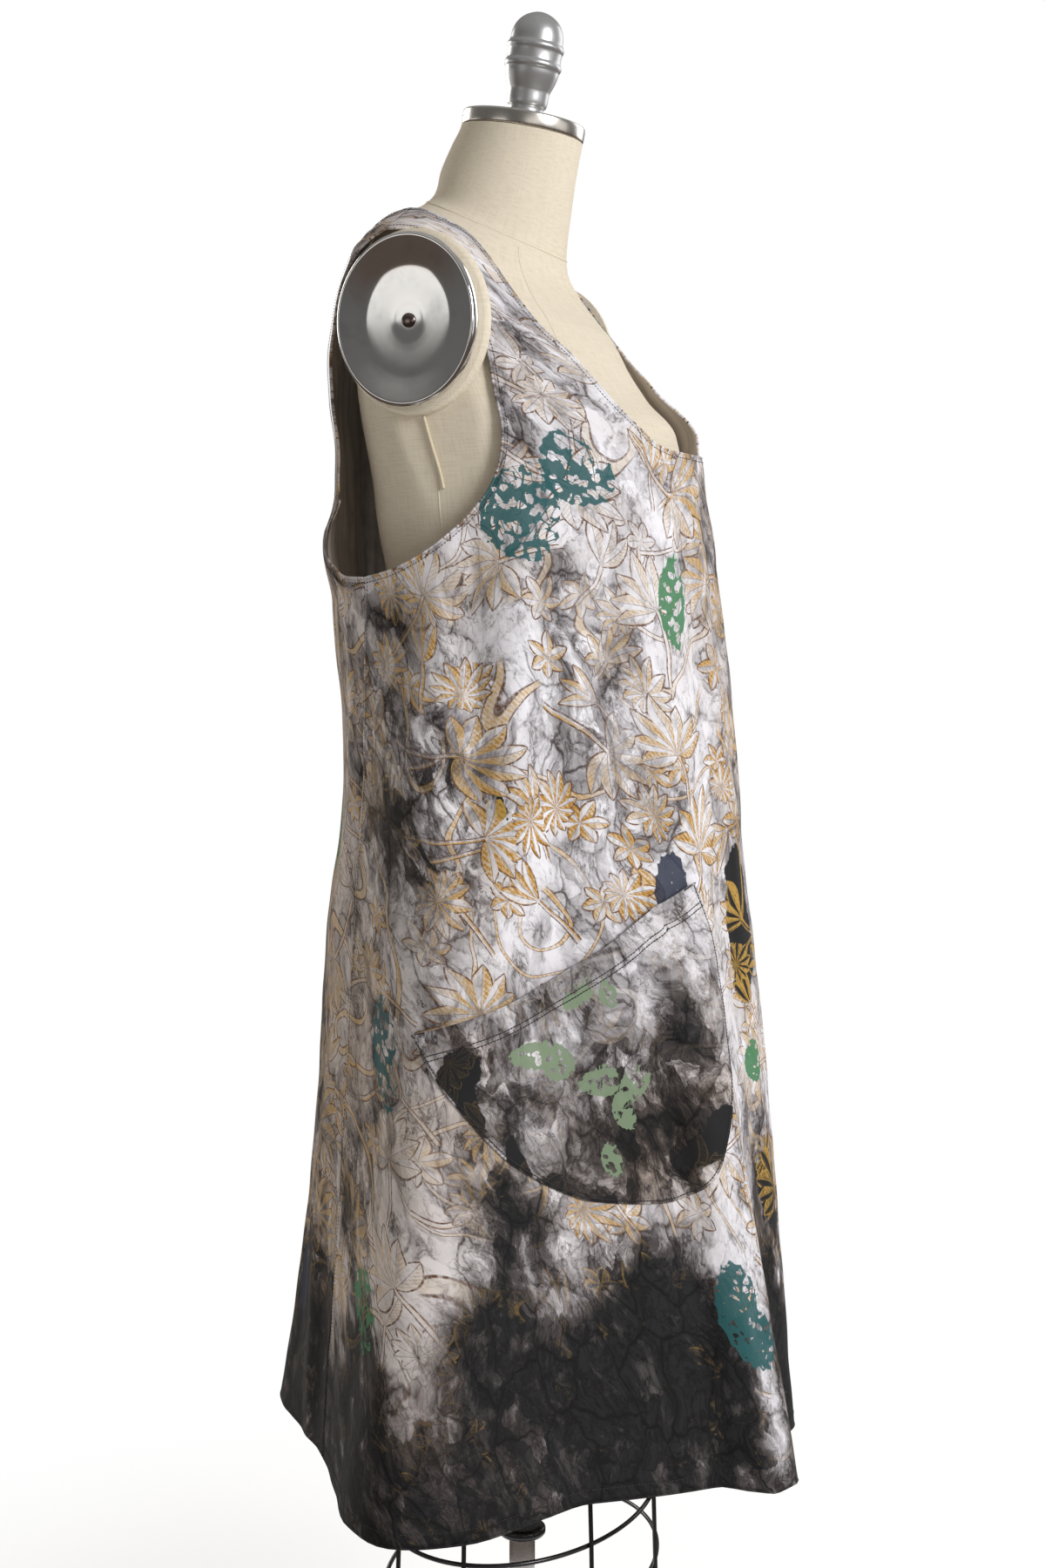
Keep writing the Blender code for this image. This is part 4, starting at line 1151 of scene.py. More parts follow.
def lace_leaf_group() -> Tree:
    """Return the group for one solid print.

    Returns:
        The group: a mask with a toothed edge, holes and ribs.
    """
    made = ShaderGroup("lace_leaf", "Vector Centre Size", "Turn Ragged Lace Open", {"Mask": VALUE})
    g = made.graph
    at, centre, size, turn, ragged, lace, open_side = made.given
    local = g.turned(at - centre, turn) / size
    reach = g.length(local)
    x, y, _ = g.split(local)
    round_angle = g.math("ARCTAN2", y, x)
    teeth = abs(g.math("SINE", round_angle * 9.0))
    lobes = g.math("SINE", round_angle * 3.0 + 1.2)
    edge = reach + (ragged - 0.5) * 0.5 + (teeth * 0.06 + lobes * 0.07)
    body = g.ramp(edge, 0.97, 1.0, 1.0, 0.0)
    # Ribs fan out from the foot of the leaf and fork, and the holes lie on its open side.
    fan = g.math("ARCTAN2", x, y + 0.85)
    rib = g.ramp(abs(g.math("SINE", fan * 6.0)), 0.05, 0.13, 1.0, 0.0)
    twig = abs(g.math("SINE", fan * 18.0 + reach * 6.0))
    twig = g.ramp(twig, 0.05, 0.16, 1.0, 0.0) * (reach > 0.45)
    shift = (x + y * 0.4 + 2.2) * open_side - 0.35
    solid = g.ramp(lace + shift, 0.47, 0.5, 1.0, 0.0)
    return made.give(Mask=body * g.most(solid, g.most(rib, twig)))


def weave_group() -> Tree:
    """Return the group for a plain weave.

    Returns:
        The group: the height of its threads and how uneven they are.
    """
    made = ShaderGroup("plain_weave", "Vector", "Threads", {"Height": VALUE, "Slub": VALUE})
    g = made.graph
    at, threads = made.given
    x, y, _ = g.split(at * threads)
    over, under = (abs(g.math("SINE", way * math.pi)) for way in (x, y))
    turn = abs(g.math("MODULO", g.math("FLOOR", x) + g.math("FLOOR", y), 2.0))
    slub = g.noise(at * (900.0, 45.0, 0.0), 1.0, 2.0, seed=2.0)
    cross = g.noise(at * (45.0, 900.0, 0.0), 1.0, 2.0, seed=6.0)
    return made.give(Height=over * turn + under * (1.0 - turn), Slub=(slub + cross) * 0.5)


# --- Stitches ---

@dataclass(frozen=True)
class Stitch:
    """The sizes of one kind of stitch."""

    pitch: float              # from one stitch to the next
    length: float             # of one stitch
    radius: float             # of the thread
    slant: float = 0.0        # turn of each stitch off the row, in radians


TOPSTITCH = Stitch(0.0031, 0.0025, 0.0004)
SIDE_STITCH = Stitch(0.0034, 0.0026, 0.00026)
OVERLOCK = Stitch(0.0026, 0.0075, 0.0003, 1.25)
# Thick, near-continuous black thread: real edge-stitching that, along the pocket's outline, also paints the shadow
# line under its edge.
POCKET_STITCH_AND_SHADOW_LINE = Stitch(0.0029, 0.0028, 0.0006)
BARTACK = Stitch(0.0008, 0.003, 0.00036, 1.35)


@dataclass
class StitchTree:
    """A Geometry Nodes tree that sews rows of stitches along edges."""

    thread: Material
    tree: bpy.types.GeometryNodeTree = field(init=False)
    sockets: dict[str, str] = field(init=False, default_factory=dict)

    def __post_init__(self) -> None:
        """Build the tree once."""
        self.tree = bpy.data.node_groups.new("stitch_row", "GeometryNodeTree")
        face = self.tree.interface
        kinds = {"Geometry": "NodeSocketGeometry", "Thread": "NodeSocketMaterial"}
        for label in ("Geometry", "Pitch", "Length", "Radius", "Slant", "Thread"):
            kind = kinds.get(label, "NodeSocketFloat")
            self.sockets[label] = face.new_socket(label, in_out="INPUT", socket_type=kind).identifier
        face.new_socket("Geometry", in_out="OUTPUT", socket_type="NodeSocketGeometry")

        g = Graph(self.tree)
        given = g.wires("NodeGroupInput")
        curve = g.wire("GeometryNodeMeshToCurve", {0: given["Geometry"]})
        spaced = {"Curve": curve, "Length": given["Pitch"]}
        points = g.wire("GeometryNodeResampleCurve", spaced, mode="LENGTH")
        radius, half_length = given["Radius"], g.math("MULTIPLY", given["Length"], 0.5)
        size = g.wire("ShaderNodeCombineXYZ", {"X": radius, "Y": radius, "Z": half_length})
        ball = g.wire("GeometryNodeMeshUVSphere", {"Segments": 6, "Rings": 4, "Radius": 1.0})
        bead = g.wire("GeometryNodeTransform", {"Geometry": ball, "Scale": size})

        # Each bead lies along the row, flat on the cloth, and then slants about the cloth's normal.
        tangent = g.wire("GeometryNodeInputTangent")
        aim = g.wire("FunctionNodeAlignRotationToVector", {"Vector": tangent}, axis="Z")
        up = g.wire("GeometryNodeInputNamedAttribute", {"Name": "up"}, data_type="FLOAT_VECTOR")
        flat = g.wire("FunctionNodeAlignRotationToVector", {"Rotation": aim, "Vector": up},
                      axis="X", pivot_axis="Z")
        slant = g.wire("ShaderNodeCombineXYZ", {"X": given["Slant"]})
        turns = {"Rotation": flat, "Rotate By": g.wire("FunctionNodeEulerToRotation", {0: slant})}
        turn = g.wire("FunctionNodeRotateRotation", turns, rotation_space="LOCAL")
        row = g.wire("GeometryNodeInstanceOnPoints", {"Points": points, "Instance": bead, "Rotation": turn})
        row = g.wire("GeometryNodeSetShadeSmooth", {0: g.wire("GeometryNodeRealizeInstances", {0: row})})
        row = g.wire("GeometryNodeSetMaterial", {"Geometry": row, "Material": given["Thread"]})
        g.node("NodeGroupOutput", {"Geometry": row})

    def sew(self, name: str, paths: Sequence[Array], cloth: BVHTree, stitch: Stitch) -> Piece:
        """Make one plain mesh of the stitches along some paths.

        Args:
            name: The piece's name.
            paths: Where the rows run.
            cloth: The faces that the stitches lie along.
            stitch: Their sizes.

        Returns:
            The stitches as one object.
        """
        points = np.vstack(paths)
        edges, first = [], 0
        for path in paths:
            edges += [(first + i, first + i + 1) for i in range(len(path) - 1)]
            first += len(path)
        line = bpy.data.meshes.new(name + "_line")
        line.from_pydata(points.tolist(), edges, [])
        ups = [tuple(cloth.find_nearest(Vector(point))[1]) for point in points]
        line.attributes.new("up", "FLOAT_VECTOR", "POINT").data.foreach_set("vector", np.array(ups).ravel())
        guide = bpy.data.objects.new(name + "_line", line)
        bpy.context.scene.collection.objects.link(guide)
        modifier = guide.modifiers.new("sew", "NODES")
        modifier.node_group = self.tree
        modifier[self.sockets["Thread"]] = self.thread
        for size in fields(stitch):
            modifier[self.sockets[size.name.capitalize()]] = getattr(stitch, size.name)
        graph = bpy.context.evaluated_depsgraph_get()
        mesh = bpy.data.meshes.new_from_object(guide.evaluated_get(graph), depsgraph=graph)
        mesh.name = name
        guide.modifiers.remove(modifier)
        bpy.data.objects.remove(guide)
        piece = bpy.data.objects.new(name, mesh)
        bpy.context.scene.collection.objects.link(piece)
        return piece


# --- Finishes ---

def new_material(name: str) -> tuple[Material, Graph, bpy.types.Node]:
    """Return a material, a Graph for its tree and its Principled BSDF."""
    material = bpy.data.materials.new(name)
    material.use_nodes = True
    return material, Graph(material.node_tree), material.node_tree.nodes["Principled BSDF"]


@dataclass(frozen=True)
class LacePrint:
    """One solid print on the cloth, in the cloth's own metres."""

    u: float
    v: float
    width: float
    height: float
    turn: float
    open_side: float      # how far its holes open towards one side
    colour: Colour


@dataclass(frozen=True)
class Palette:
    """The colours of a dyed and printed cotton, and of its painted warm shade."""

    pale: Colour = (0.83, 0.82, 0.87)
    mid: Colour = (0.4, 0.385, 0.405)
    smoke: Colour = (0.084, 0.073, 0.073)
    dark: Colour = (0.0145, 0.0145, 0.017)
    vein: Colour = (0.12, 0.088, 0.078)
    # Multiplied in for painted warm shade, and for a warm tint that varies at random.
    earth: Colour = (0.68, 0.56, 0.43)
    straw: Colour = (0.74, 0.53, 0.215)
    ochre: Colour = (0.43, 0.205, 0.022)
    gold: Colour = (0.46, 0.28, 0.055)
    outline: Colour = (0.12, 0.052, 0.022)


TEAL = (0.016, 0.1, 0.108)
FERN = (0.052, 0.21, 0.09)
SAGE = (0.2, 0.275, 0.172)
NAVY = (0.018, 0.028, 0.062)
SOOT = (0.011, 0.011, 0.013)
HATCH_PITCH = 0.0036      # between the fine strokes that shade the printed leaves
COTTON_THREADS = 1500.0   # in one metre
LINEN_THREADS = 1150.0


@dataclass(frozen=True)
class ClothGroups:
    """The node groups that the cloths share."""

    dye: Tree
    print: Tree
    lace: Tree
    weave: Tree


@dataclass(frozen=True)
class DyedCottonWithPaintedLight:
    """The right side of one panel's cotton."""

    name: str
    prints: tuple[LacePrint, ...]
    palette: Palette = Palette()
    ink: float = 0.85
    drawing: float = 1.0
    offset: tuple = (0.0, 0.0, 0.0)

    def material(self, groups: ClothGroups) -> Material:
        """Return the material: dye, painted warm shade and a few painted highlights, then botanical print, then solid
        prints.

        Args:
            groups: The node groups that the cloths share.

        Returns:
            The material.
        """
        made, g, shader = new_material(self.name)
        colours = self.palette
        uv = g.cloth()
        at = uv + self.offset
        tone, warm, night, inked = map(g.mask, ("tone", "warm", "night", "inked"))
        dye = g.group(groups.dye, Vector=at, Tone=tone)
        drawn = g.group(groups.print, Vector=at)
        worn = drawn["Worn"] * 0.6 + 0.4
        cleaned = drawn["Body"] * g.clamped(0.34 - tone * 0.4)
        cloud = dye["Cloud"] * (1.0 - cleaned)
        stops = ((0.0, colours.pale), (0.18, colours.mid), (0.43, colours.smoke), (0.8, colours.dark))
        base = g.mix(dye["Vein"] * (0.95 - cleaned), g.colours(cloud, stops), colours.vein, "MULTIPLY")
        tint = g.noise(at, 8.0, 3.0, 0.6, seed=15.0)
        # Painted warm shade, from its mask, and a warm tint that varies at random are multiplied in.
        warmth_and_shade = g.clamped(warm * 0.85 + g.ramp(tint, 0.48, 0.72, 0.0, 0.4))
        base = g.mix(warmth_and_shade, base, colours.earth, "MULTIPLY")

        # Black places, then the print's shaded ink and its drawing.
        ragged = g.noise(at, 30.0, 4.0, 0.65, seed=52.0)
        black = g.ramp(night + (ragged - 0.5) * 1.2, 0.5, 0.56)
        base = g.mix(black, base, SOOT)
        shown = g.clamped(1.0 - tone * 1.35)
        shown = g.clamped(g.most(shown + g.ramp(ragged, 0.56, 0.66) * 0.3, black))
        pressed = (inked + 0.85) * self.ink
        x, y, _ = g.split(at)
        across = x * 0.8 + y * 0.6 + tint * 0.012
        hatch = g.ramp(g.math("SINE", across * (2.0 * math.pi / HATCH_PITCH)), -0.6, 0.5, 0.66, 1.06)
        fill = g.clamped(drawn["Fill"] * worn * hatch * (shown * pressed))
        covered = g.clamped(fill * g.ramp(cloud, 0.15, 0.6, 1.5, 0.7))
        base = g.mix(covered, base, g.mix(black, g.mix(fill, colours.straw, colours.ochre), colours.gold))
        deep = g.most(g.ramp(cloud, 0.35, 0.6), black)
        line = drawn["Line"] * worn * (shown * self.drawing)
        base = g.mix(line, base, g.mix(deep, colours.outline, colours.gold))

        # Solid prints lie over everything.
        holes = g.cells(uv + g.wander(at, 60.0, 4.0, 0.6) * 0.021, 105.0)["Distance"]
        lace = ragged * 0.7 + 0.47 - holes * 0.85
        for spot in self.prints:
            leaf = g.group(groups.lace, Vector=uv, Centre=(spot.u, spot.v, 0.0),
                           Size=(spot.width, spot.height, 1.0),
                           Turn=spot.turn, Ragged=ragged, Lace=lace, Open=spot.open_side)
            base = g.mix(leaf["Mask"] * 0.94, base, spot.colour)

        weave = g.group(groups.weave, Vector=uv, Threads=COTTON_THREADS)
        height = dye["Dent"] * 0.85 + weave["Slub"] * 0.16 + weave["Height"] * 0.03
        g.feed(shader, {"Base Color": base, "Roughness": 0.74, "Specular IOR Level": 0.3,
                        "Sheen Weight": 0.06, "Normal": g.relief(height, 0.55, 0.0022)})
        return made


@dataclass(frozen=True)
class WrongSide:
    """The inside of the cotton, where the dye shows and the print only ghosts."""

    name: str
    light: Colour = (0.7, 0.64, 0.58)
    dark: Colour = (0.16, 0.132, 0.115)

    def material(self, groups: ClothGroups) -> Material:
        """Return the material.

        Args:
            groups: The node groups that the cloths share.

        Returns:
            The material.
        """
        made, g, shader = new_material(self.name)
        uv = g.cloth()
        # The tone mask brings its few painted highlights and painted shade along folds here too.
        dye = g.group(groups.dye, Vector=uv, Tone=g.mask("tone"))
        streaks = g.noise(uv * (60.0, 5.0, 0.0), 1.0, 3.0, seed=4.0)
        share = g.clamped(dye["Cloud"] * 0.6 + g.ramp(streaks, 0.35, 0.7, 0.0, 0.5))
        weave = g.group(groups.weave, Vector=uv, Threads=COTTON_THREADS)
        g.feed(shader, {"Base Color": g.mix(share, self.light, self.dark), "Roughness": 0.85,
                        "Specular IOR Level": 0.25,
                        "Normal": g.relief(dye["Dent"] + weave["Slub"] * 0.3, 0.35, 0.0015)})
        return made


@dataclass(frozen=True)
class Linen:
    """The form's tight cream linen."""

    name: str
    colour: Colour = (0.785, 0.712, 0.582)
    slub: Colour = (0.64, 0.562, 0.432)

    def material(self, groups: ClothGroups) -> Material:
        """Return the material.

        Args:
            groups: The node groups that the cloths share.

        Returns:
            The material.
        """
        made, g, shader = new_material(self.name)
        uv = g.cloth()
        weave = g.group(groups.weave, Vector=uv, Threads=LINEN_THREADS)
        cloudy = g.noise(uv, 7.0, 3.0, 0.6, seed=1.0)
        share = g.ramp(weave["Slub"], 0.44, 0.62, 0.0, 0.55) + g.ramp(cloudy, 0.4, 0.75, 0.0, 0.22)
        height = weave["Height"] * 0.35 + weave["Slub"] * 0.8
        g.feed(shader, {"Base Color": g.mix(share, self.colour, self.slub), "Roughness": 0.88,
                        "Specular IOR Level": 0.25, "Sheen Weight": 0.04,
                        "Normal": g.relief(height, 0.45, 0.0008)})
        return made


@dataclass(frozen=True)
class Metal:
    """Steel, metallic paint or a glossy coating, with faint marks of use."""

    name: str
    colour: Colour
    roughness: float
    metallic: float
    marks: float = 0.05       # how much the roughness varies
    grain: float = 0.0        # depth of an orange-peel skin
    coat: float = 0.0

    def material(self) -> Material:
        """Make the material.

        Returns:
            The material.
        """
        made, g, shader = new_material(self.name)
        at = g.place()
        broad = g.noise(at, 38.0, 4.0, 0.6)
        dulled = tuple(0.86 * part for part in self.colour)
        g.feed(shader, {"Roughness": g.clamped(self.roughness + (broad - 0.5) * (self.marks * 2.0)),
                        "Base Color": g.mix(g.ramp(broad, 0.45, 0.75), self.colour, dulled),
                        "Metallic": self.metallic, "Coat Weight": self.coat})
        if self.grain:
            g.feed(shader, {"Normal": g.relief(g.noise(at, 420.0, 2.0, 0.5), 0.25, self.grain)})
        return made


@dataclass(frozen=True)
class Fibre:
    """Thread or cord."""

    name: str
    colour: Colour
    shade: Colour

    def material(self) -> Material:
        """Make the material.

        Returns:
            The material.
        """
        made, g, shader = new_material(self.name)
        speck = g.noise(g.place(), 1400.0, 2.0, 0.6)
        g.feed(shader, {"Base Color": g.mix(g.ramp(speck, 0.35, 0.65), self.colour, self.shade),
                        "Roughness": 0.85, "Normal": g.relief(speck, 0.3, 0.0003)})
        return made


# --- The dress ---

# A soft darker, lighter, warmer or black place, in the cloth's own metres: u, v, reach in u, reach in v, amount. The
# warmer places are painted warm shade, and a few darker and lighter ones are painted shade and painted highlights
# along folds.
SoftPlace = tuple[float, float, float, float, float]


def soft_places_sum(uv: Array, stains: Sequence[SoftPlace]) -> Array:
    """Return the sum of some soft places.

    Args:
        uv: The places.
        stains: The soft places.

    Returns:
        One value for each place.
    """
    total = np.zeros(len(uv))
    for u, v, reach_u, reach_v, amount in stains:
        apart = ((uv[:, 0] - u) / reach_u) ** 2 + ((uv[:, 1] - v) / reach_v) ** 2
        total += amount * np.exp(-apart)
    return total


def lace_prints(*rows: tuple) -> tuple[LacePrint, ...]:
    """Return the solid prints of some rows."""
    return tuple(LacePrint(*row) for row in rows)


@dataclass
class DyeAndPaintedLight:
    """Where a piece's dye is darker, lighter or black, where it is inked, where painted warm shade lies, and how its
    hem's dye rises: full below, none above, with a wavy top. A few of the darker and lighter places are painted shade
    and painted highlights along folds.
    """

    tone: tuple[SoftPlace, ...]
    warm: tuple[SoftPlace, ...]
    night: tuple[SoftPlace, ...] = ()
    inked: tuple[SoftPlace, ...] = ()
    hem_full: float = 0.1
    hem_clear: float = 0.34
    hem_sway: float = 0.035
    hem_depth: float = 0.82

    def masks(self, uv: Array) -> dict[str, Array]:
        """Return the masks that the cotton reads.

        Args:
            uv: The flat place of each vertex.

        Returns:
            One value for each vertex, by mask.
        """
        level = uv[:, 1] + self.hem_sway * np.sin(7.0 * uv[:, 0] + 0.8)
        level = level + 0.5 * self.hem_sway * np.sin(17.0 * uv[:, 0])
        share = np.clip((self.hem_clear - level) / (self.hem_clear - self.hem_full), 0.0, 1.0)
        hem = self.hem_depth * eased(share)
        return {
            "tone": np.clip(soft_places_sum(uv, self.tone) + hem, -0.35, 1.0),
            "warm": np.clip(soft_places_sum(uv, self.warm), 0.0, 1.0),
            "night": np.clip(soft_places_sum(uv, self.night), 0.0, 1.0),
            "inked": np.clip(soft_places_sum(uv, self.inked), -0.8, 1.0),
        }


@dataclass
class SewnPiece:
    """A cut piece of cloth: a closed shell with an outer and an inner skin."""

    name: str
    # Its dye, with its painted warm shade and a few painted highlights.
    dye: DyeAndPaintedLight
    points: Array = field(init=False)
    normals: Array = field(init=False)
    uv: Array = field(init=False)
    edges: dict[str, Array] = field(init=False, default_factory=dict)
    tree: BVHTree = field(init=False)

    def shell(self, faces: Array, materials: Sequence[Material], thickness: float = CLOTH_THICKNESS) -> Piece:
        """Make the shell: the outer skin, an inner one and the edges between.

        Args:
            faces: The outer skin's faces, facing outwards.
            materials: The materials of the outside and the inside.
            thickness: Of the cloth.

        Returns:
            The piece.
        """
        count = len(self.points)
        inner = [[count + corner for corner in face[::-1]] for face in faces.tolist()]
        directed = set()
        for face in faces.tolist():
            directed.update(zip(face, face[1:] + face[:1]))
        rim = [(b, a, count + a, count + b) for a, b in sorted(directed) if (b, a) not in directed]
        slots = np.zeros(2 * len(faces) + len(rim))
        slots[len(faces): 2 * len(faces)] = 1
        points = np.vstack((self.points, self.points - self.normals * thickness))
        uv = np.vstack((self.uv, self.uv))
        sheet = make_piece(self.name, points, faces.tolist() + inner + rim, materials,
                           uvs=uv, masks=self.dye.masks(uv), slots=slots)
        self.tree = bvh_of(sheet)
        return sheet

    def rim(self, name: str, edge: str, material: Material, radius: float, sides: int = 10) -> Piece:
        """Make the turned edge along one edge, with the dye and painted shade of the cloth beside it.

        Args:
            name: The rim's name.
            edge: Which edge.
            material: The cloth's.
            radius: Of the rim.
            sides: Points round it.

        Returns:
            The rim.
        """
        index = self.edges[edge]
        path = self.points[index] - self.normals[index] * (0.5 * CLOTH_THICKNESS)
        points, faces = tube(path, radius, sides)
        uv = np.repeat(self.uv[index], sides, axis=0)
        return make_piece(name, points, faces, [material], uvs=uv, masks=self.dye.masks(uv))

    def inset_row(self, edge: str, inset: float) -> Array:
        """Return a path on the cloth that runs beside one of its edges.

        Args:
            edge: Which edge.
            inset: How far in from it.

        Returns:
            The path.
        """
        index = self.edges[edge]
        path, normals = self.points[index], self.normals[index]
        inward = np.cross(normals, unit(np.gradient(path, axis=0)))
        trial = path[len(path) // 2] + inward[len(path) // 2] * 0.01
        if self.tree.find_nearest(Vector(trial))[3] > 0.004:
            inward = -inward
        row = []
        for point in path + inward * inset:
            near, normal, _, _ = self.tree.find_nearest(Vector(point))
            row.append(near + normal * THREAD_LIFT)
        return resampled(np.array(row), 0.003)


@dataclass
class Panel(SewnPiece):
    """The front or the back: a skirt that runs up into two straps."""

    armhole: Array
    neckline: Array
    middle: float
    armhole_corner: int = 5       # the row of the armhole where the strap starts
    neckline_corner: int = 2      # and of the neckline
    flank: int = 30
    strap: int = 22
    neck: int = 22
    rows: int = 190
    strap_rows: int = 64
    drift: float = 1.6

    def patches(self) -> tuple[Patch, Patch, Patch]:
        """Lay grids over the panel.

        Returns:
            The skirt's grid, the right strap's and the left strap's.
        """
        to_middle = -1.0 if self.middle == 0.0 else 1.0
        side_angle = SIDE_SEAM + to_middle * math.degrees(SEAM_HALF_GAP / SIDE_RADIUS)
        shoulder_angle = SHOULDER_SEAM + to_middle * math.degrees(SEAM_HALF_GAP / SHOULDER_RADIUS)
        flank = spaced_places(self.armhole, 0, self.armhole_corner, self.flank)
        neck = spaced_places(self.neckline, self.neckline_corner, 0, self.neck)
        share = np.linspace(0.0, 1.0, self.strap + 1)[:, None]
        bridge = flank[-1] + (neck[0] - flank[-1]) * share
        tops = np.vstack((flank[:-1], bridge, neck[1:]))
        tops[0, 0] = side_angle
        flipped = np.stack((2.0 * self.middle - tops[-2::-1, 0], tops[-2::-1, 1]), axis=-1)
        columns = np.vstack((tops, flipped))
        across = np.linspace(0.0, 1.0, len(columns))
        foot = side_angle + 2.0 * (self.middle - side_angle) * across
        down = np.linspace(0.0, 1.0, self.rows + 1)
        swing = 1.0 - (1.0 - down) ** self.drift
        skirt = Patch(
            columns[:, :1] + (foot[:, None] - columns[:, :1]) * swing,
            columns[:, 1:] + (HEM_HEIGHT - columns[:, 1:]) * down,
        )
        outer = spaced_places(self.armhole, self.armhole_corner, len(self.armhole) - 1, self.strap_rows)
        inner = spaced_places(self.neckline, self.neckline_corner, len(self.neckline) - 1, self.strap_rows)
        outer[-1, 0] = inner[-1, 0] = shoulder_angle
        mixed = outer[None] + (inner - outer)[None] * share[:, :, None]
        right = Patch(mixed[..., 0], mixed[..., 1])
        left = Patch(2.0 * self.middle - mixed[..., 0], mixed[..., 1])
        return skirt, right, left

    def lay_out(self, skirt: Patch, right: Patch, left: Patch) -> None:
        """Give each grid its flat cloth coordinates: u from the middle, v from the hem.

        Args:
            skirt: The skirt's grid.
            right: The right strap's.
            left: The left strap's.
        """
        points = skirt.points(cloth_points)
        u = running_length(points, 0)
        u = u - u[len(u) // 2]
        v = running_length(points[:, ::-1], 1)[:, ::-1]
        skirt.uv = np.stack((u, v), axis=-1)
        for strap, first, step in ((right, self.flank, 1), (left, len(u) - 1 - self.flank, -1)):
            points = strap.points(cloth_points)
            root = skirt.uv[first:: step][: self.strap + 1, 0]
            across = running_length(points, 0) * step
            centre = across[len(across) // 2]
            strap_u = root[len(root) // 2, 0] + across - centre
            strap_v = root[:, 1:] + running_length(points, 1)
            strap.uv = np.stack((strap_u, strap_v), axis=-1)

    def build(self, body: BVHTree, materials: Sequence[Material]) -> Piece:
        """Make the panel's shell, clear of the body.

        Args:
            body: The figure that the cloth must not cut.
            materials: The materials of the outside and the inside.

        Returns:
            The panel.
        """
        skirt, right, left = self.patches()
        self.lay_out(skirt, right, left)
        angle = np.concatenate([patch.angle.ravel() for patch in (skirt, right, left)])
        height = np.concatenate([patch.height.ravel() for patch in (skirt, right, left)])
        uv = np.vstack([patch.uv.reshape(-1, 2) for patch in (skirt, right, left)])
        quads, first = [], 0
        for patch, turned in ((skirt, False), (right, True), (left, False)):
            part = grid_quads(*patch.angle.shape, first)
            quads.append(part[:, ::-1] if turned else part)
            first += patch.angle.size
        key = np.round(np.stack((angle, height), axis=-1), 7)
        _, kept, index = np.unique(key, axis=0, return_index=True, return_inverse=True)
        index = index.ravel()
        faces = index[np.vstack(quads)]
        angle, height, self.uv = angle[kept], height[kept], uv[kept]
        self.normals = surface_normals(cloth_points, angle, height)
        points = cloth_points(angle, height) + self.normals * creasing(angle, height)[:, None]
        self.points = held_clear(points, self.normals, body, CLOTH_THICKNESS + BODY_GAP)

        size = skirt.angle.size
        grid = index[:size].reshape(skirt.angle.shape)
        straps = [
            index[size + k * right.angle.size: size + (k + 1) * right.angle.size].reshape(right.angle.shape)
            for k in range(2)
        ]
        corner = self.flank + self.strap
        self.edges = {
            "hem": grid[:, -1],
            "armhole_right": np.concatenate((grid[: self.flank + 1, 0], straps[0][0, 1:])),
            "armhole_left": np.concatenate((grid[: -self.flank - 2: -1, 0], straps[1][0, 1:])),
            "neckline": np.concatenate((
                straps[0][-1, :0:-1], grid[corner: len(grid) - corner, 0], straps[1][-1, 1:])),
            "side_right": grid[0],
            "side_left": grid[-1],
        }
        return self.shell(faces, materials)


def held_clear(points: Array, normals: Array, body: BVHTree, gap: float) -> Array:
    """Push points outwards until they clear a body.

    Args:
        points: The points.
        normals: The way each is pushed.
        body: The body's faces.
        gap: By how much they clear it.

    Returns:
        The moved points.
    """
    moved, reach = points.copy(), 0.012
    for i, point in enumerate(points):
        near, normal, _, _ = body.find_nearest(Vector(point), reach)
        if near is None:
            continue
        height = (Vector(point) - near).dot(normal)
        if height < gap:
            moved[i] += normals[i] * (gap - height)
    return moved


def bvh_of(piece: Piece) -> BVHTree:
    """Return a search tree of a piece's faces."""
    corners = [vertex.co for vertex in piece.data.vertices]
    return BVHTree.FromPolygons(corners, [tuple(face.vertices) for face in piece.data.polygons])


